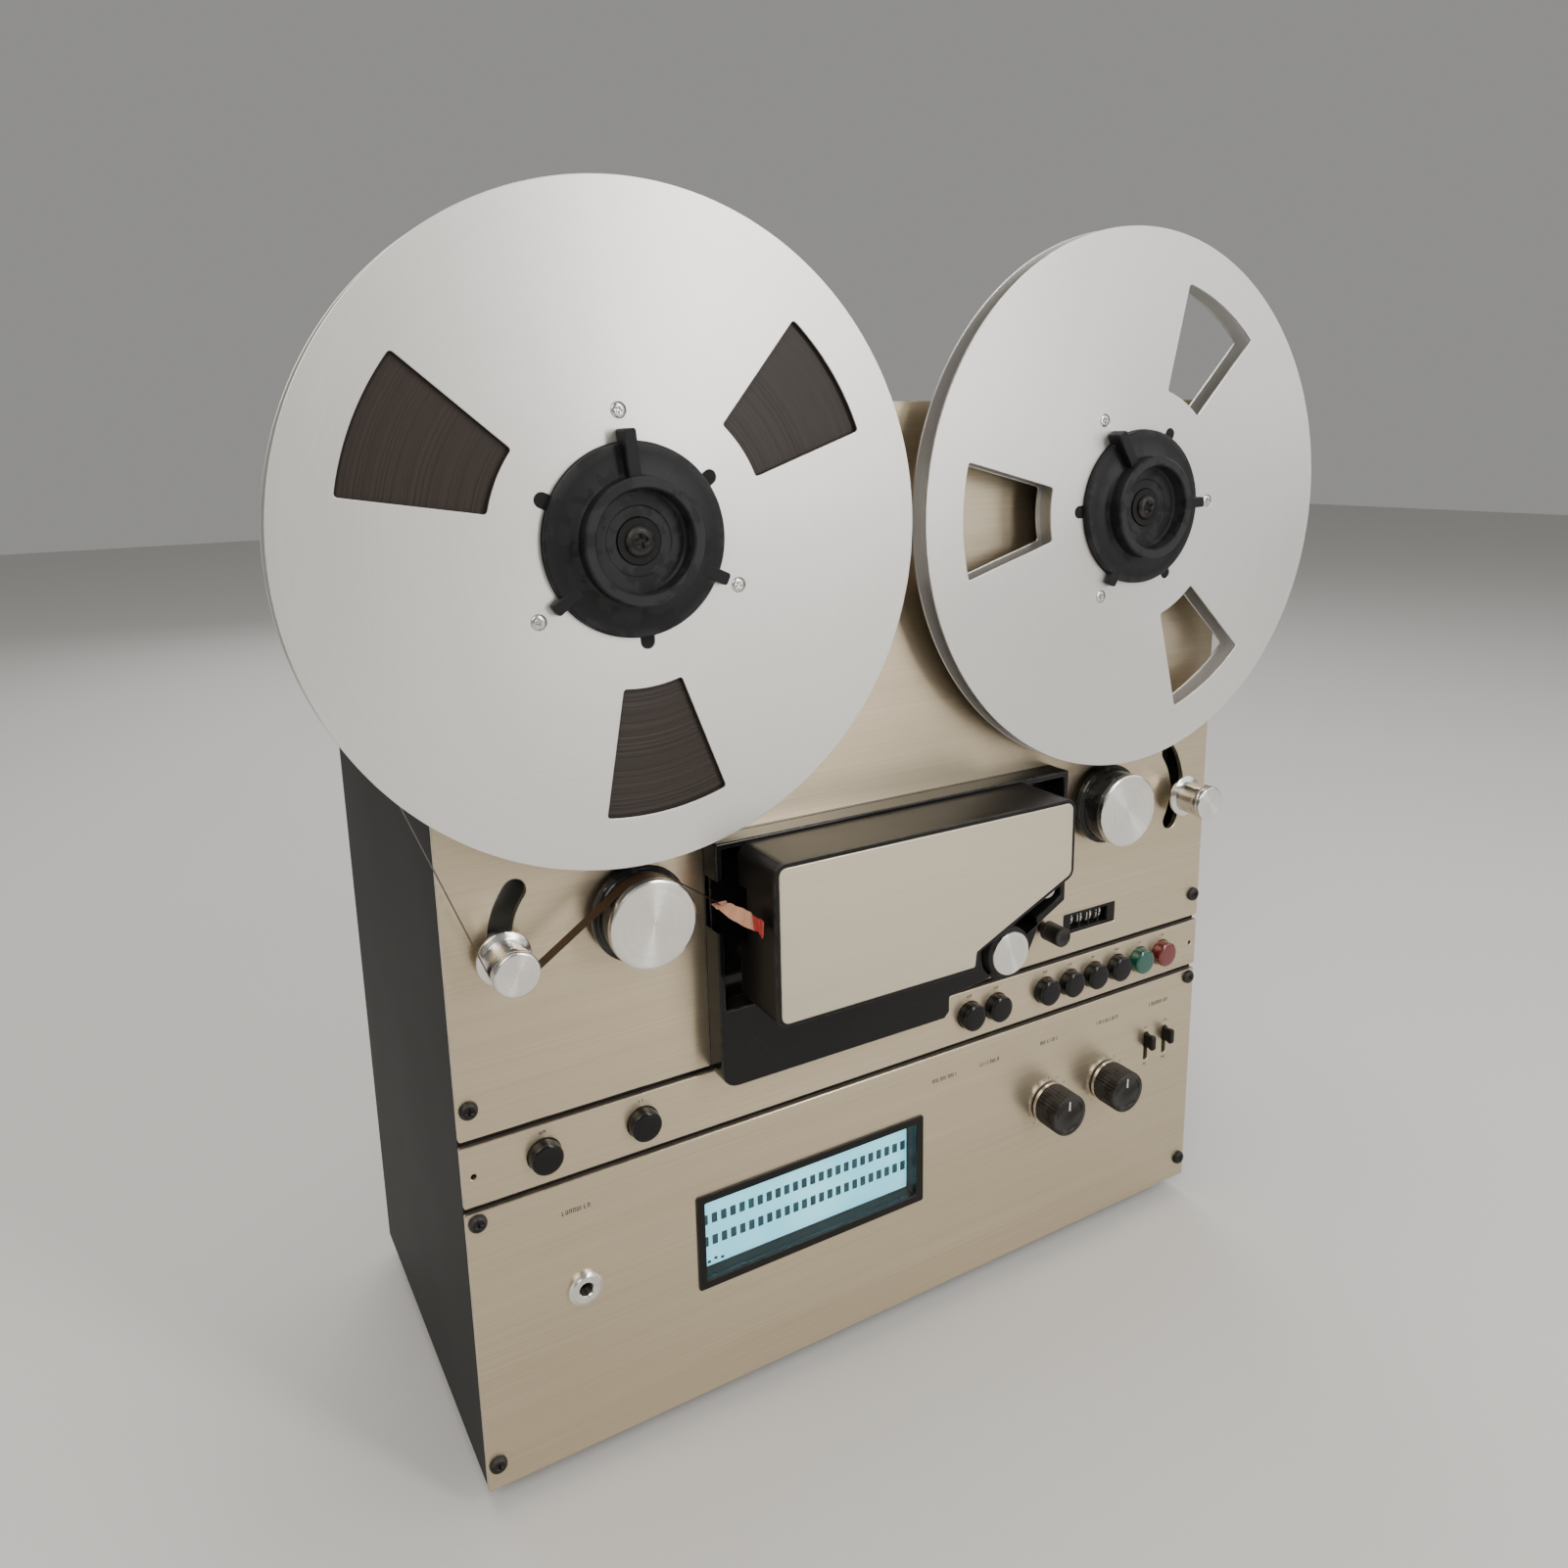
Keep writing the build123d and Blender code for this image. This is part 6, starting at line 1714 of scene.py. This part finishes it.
# Printed legends: plain bars and simple signs, with no words
legendShape = {"lift": 0.03 * mm, "rowHigh": 0.1365, "tall": 2.2 * mm}


def makeLegends():
    s = legendShape
    front = panelY - s["lift"]
    plates = []

    def bar(x, z, half, tall):
        plates.append(loosePlate("legend", [around(x, z, half, tall / 2)], front, panelY + 0.02 * mm, 0.0, 1))

    def word(x, z, width, tall, seed):
        # a row of small strokes that reads as a printed word from afar
        pick = random.Random(seed)
        at = x - width / 2
        while at < x + width / 2 - 0.6 * mm:
            kind = pick.random()
            bar(at + 0.22 * mm, z, 0.22 * mm, tall)
            if kind > 0.3:
                bar(at + 0.64 * mm, z + tall * 0.4 * (1 if kind > 0.6 else -1), 0.34 * mm, 0.4 * mm)
            if kind > 0.5:
                bar(at + 1.06 * mm, z, 0.22 * mm, tall)
            at += 1.7 * mm

    for x, width in ((-0.172, 13), (0.0327, 17), (0.0626, 13), (0.1057, 14), (0.1497, 17), (0.1908, 15)):
        word(x, s["rowHigh"], width * mm, s["tall"], round(x * 10000))
    for node in buttonNodes:
        at = middle(node)
        top = at.z + 10.6 * mm
        word(at.x, top, 3.4 * mm, 1.4 * mm, round(at.x * 10000))
    for node in ("input_lever", "output_lever"):
        at = middle(node)
        for z in (at.z + 8.4 * mm, at.z - 15.5 * mm):
            word(at.x, z, 3.4 * mm, 1.3 * mm, round(at.x * 10000 + z * 1000))
    for node in ("input_level_knob", "output_level_knob"):
        at = middle(node)
        for k in range(11):
            turn = 90 - 135 + 27 * k
            a, b = polar(13.4 * mm, turn, (at.x, at.z)), polar(15.2 * mm, turn, (at.x, at.z))
            side = Vector((b[1] - a[1], a[0] - b[0])).normalized() * 0.16 * mm
            loop = [(a[0] - side.x, a[1] - side.y), (a[0] + side.x, a[1] + side.y), (b[0] + side.x, b[1] + side.y),
                    (b[0] - side.x, b[1] - side.y)]
            plates.append(loosePlate("legend", [loop], front, panelY + 0.02 * mm, 0.0, 1))
    joinMeshes("panelLegends", plates, "legendInk", "root")


makeLegends()
print("stage: legends")


# Rear sockets, in millimetres from the face of the socket plate
rearJackShape = {"sleeve": 4.15, "bore": 1.6, "reach": 7.5, "nut": 6.0, "face": 0.120}


def makeRearSockets():
    s = rearJackShape
    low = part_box("rear_jack_panel")[0]
    rear, x0, x1, z0, z1 = s["face"], -0.150, -0.120, 0.059, 0.081
    plate = loosePlate("plate", [outlineOf("rear_jack_panel", 1.0 * mm)], low.y, rear, 0.15 * mm)
    inlet = loosePlate("inlet", [rectangle((x0, z0), (x1, z1), 2.0 * mm, 5),
                                 rectangle((x0 + 4 * mm, z0 + 4 * mm), (x1 - 4 * mm, z1 - 4 * mm), 3.0 * mm, 6)],
                       rear, rear + 5 * mm, 0.4 * mm)
    inner = loosePlate("inner", [rectangle((x0 + 2 * mm, z0 + 2 * mm), (x1 - 2 * mm, z1 - 2 * mm), 1.0 * mm)],
                       rear, rear + 1 * mm, 0.05 * mm, 1)
    joinMeshes("rearPlate", [plate, inlet, inner], "satinBlack", "root",
               ["rear_jack_panel"])
    bore, sleeve, reach, nut = s["bore"], s["sleeve"], s["reach"], s["nut"]
    profile = profileAt(rear, [(bore, 1), (bore, reach - 0.2), (bore + 0.3, reach), (sleeve - 0.3, reach),
                               (sleeve, reach - 0.3), (sleeve, 1.6), (nut - 0.3, 1.5), (nut, 1.2), (nut, 0.02),
                               (bore, 0.02), (bore, 1)])
    sleeves = [looseTurned("sleeve", profile, (x, z), 48) for x in (-0.055, -0.035) for z in (0.060, 0.080)]
    pin = profileAt(rear, [(0, 1), (1.6, 1), (1.6, 4.2), (1.2, 4.5), (0, 4.5)])
    pins = [looseTurned("pin", pin, (x, 0.070), 24) for x in (-0.141, -0.129)]
    joinMeshes("rearSleeves", sleeves + pins, "turnedCap", "root", ["rear_jack_panel"])


makeRearSockets()
print("stage: rear sockets")


# Model pieces that stay as they are, with their own finishes
keptFinishes = {
    "front_frame": "frameBlack", "chassis_plate": "zincPlate", "power_transformer": "coreIron",
    "reel_motors": "motorPaint", "capstan_motor": "motorPaint", "tape_heads": "zincPlate",
    "roller_posts": "zincPlate", "circuit_boards": "boardLaminate", "capstan_flywheel": "zincPlate",
    "pinch_arm": "zincPlate", "supply_reel_hub": "zincPlate", "takeup_reel_hub": "zincPlate",
    "supply_turntable": "frameBlack", "takeup_turntable": "frameBlack",
    "supply_tension_arm": "zincPlate", "takeup_tension_arm": "zincPlate",
}
for node, finish in keptFinishes.items():
    kept = cadNodes[node]
    kept.data.materials.clear()
    kept.data.materials.append(finishes[finish])
print("stage: kept model pieces,", len(keptFinishes))
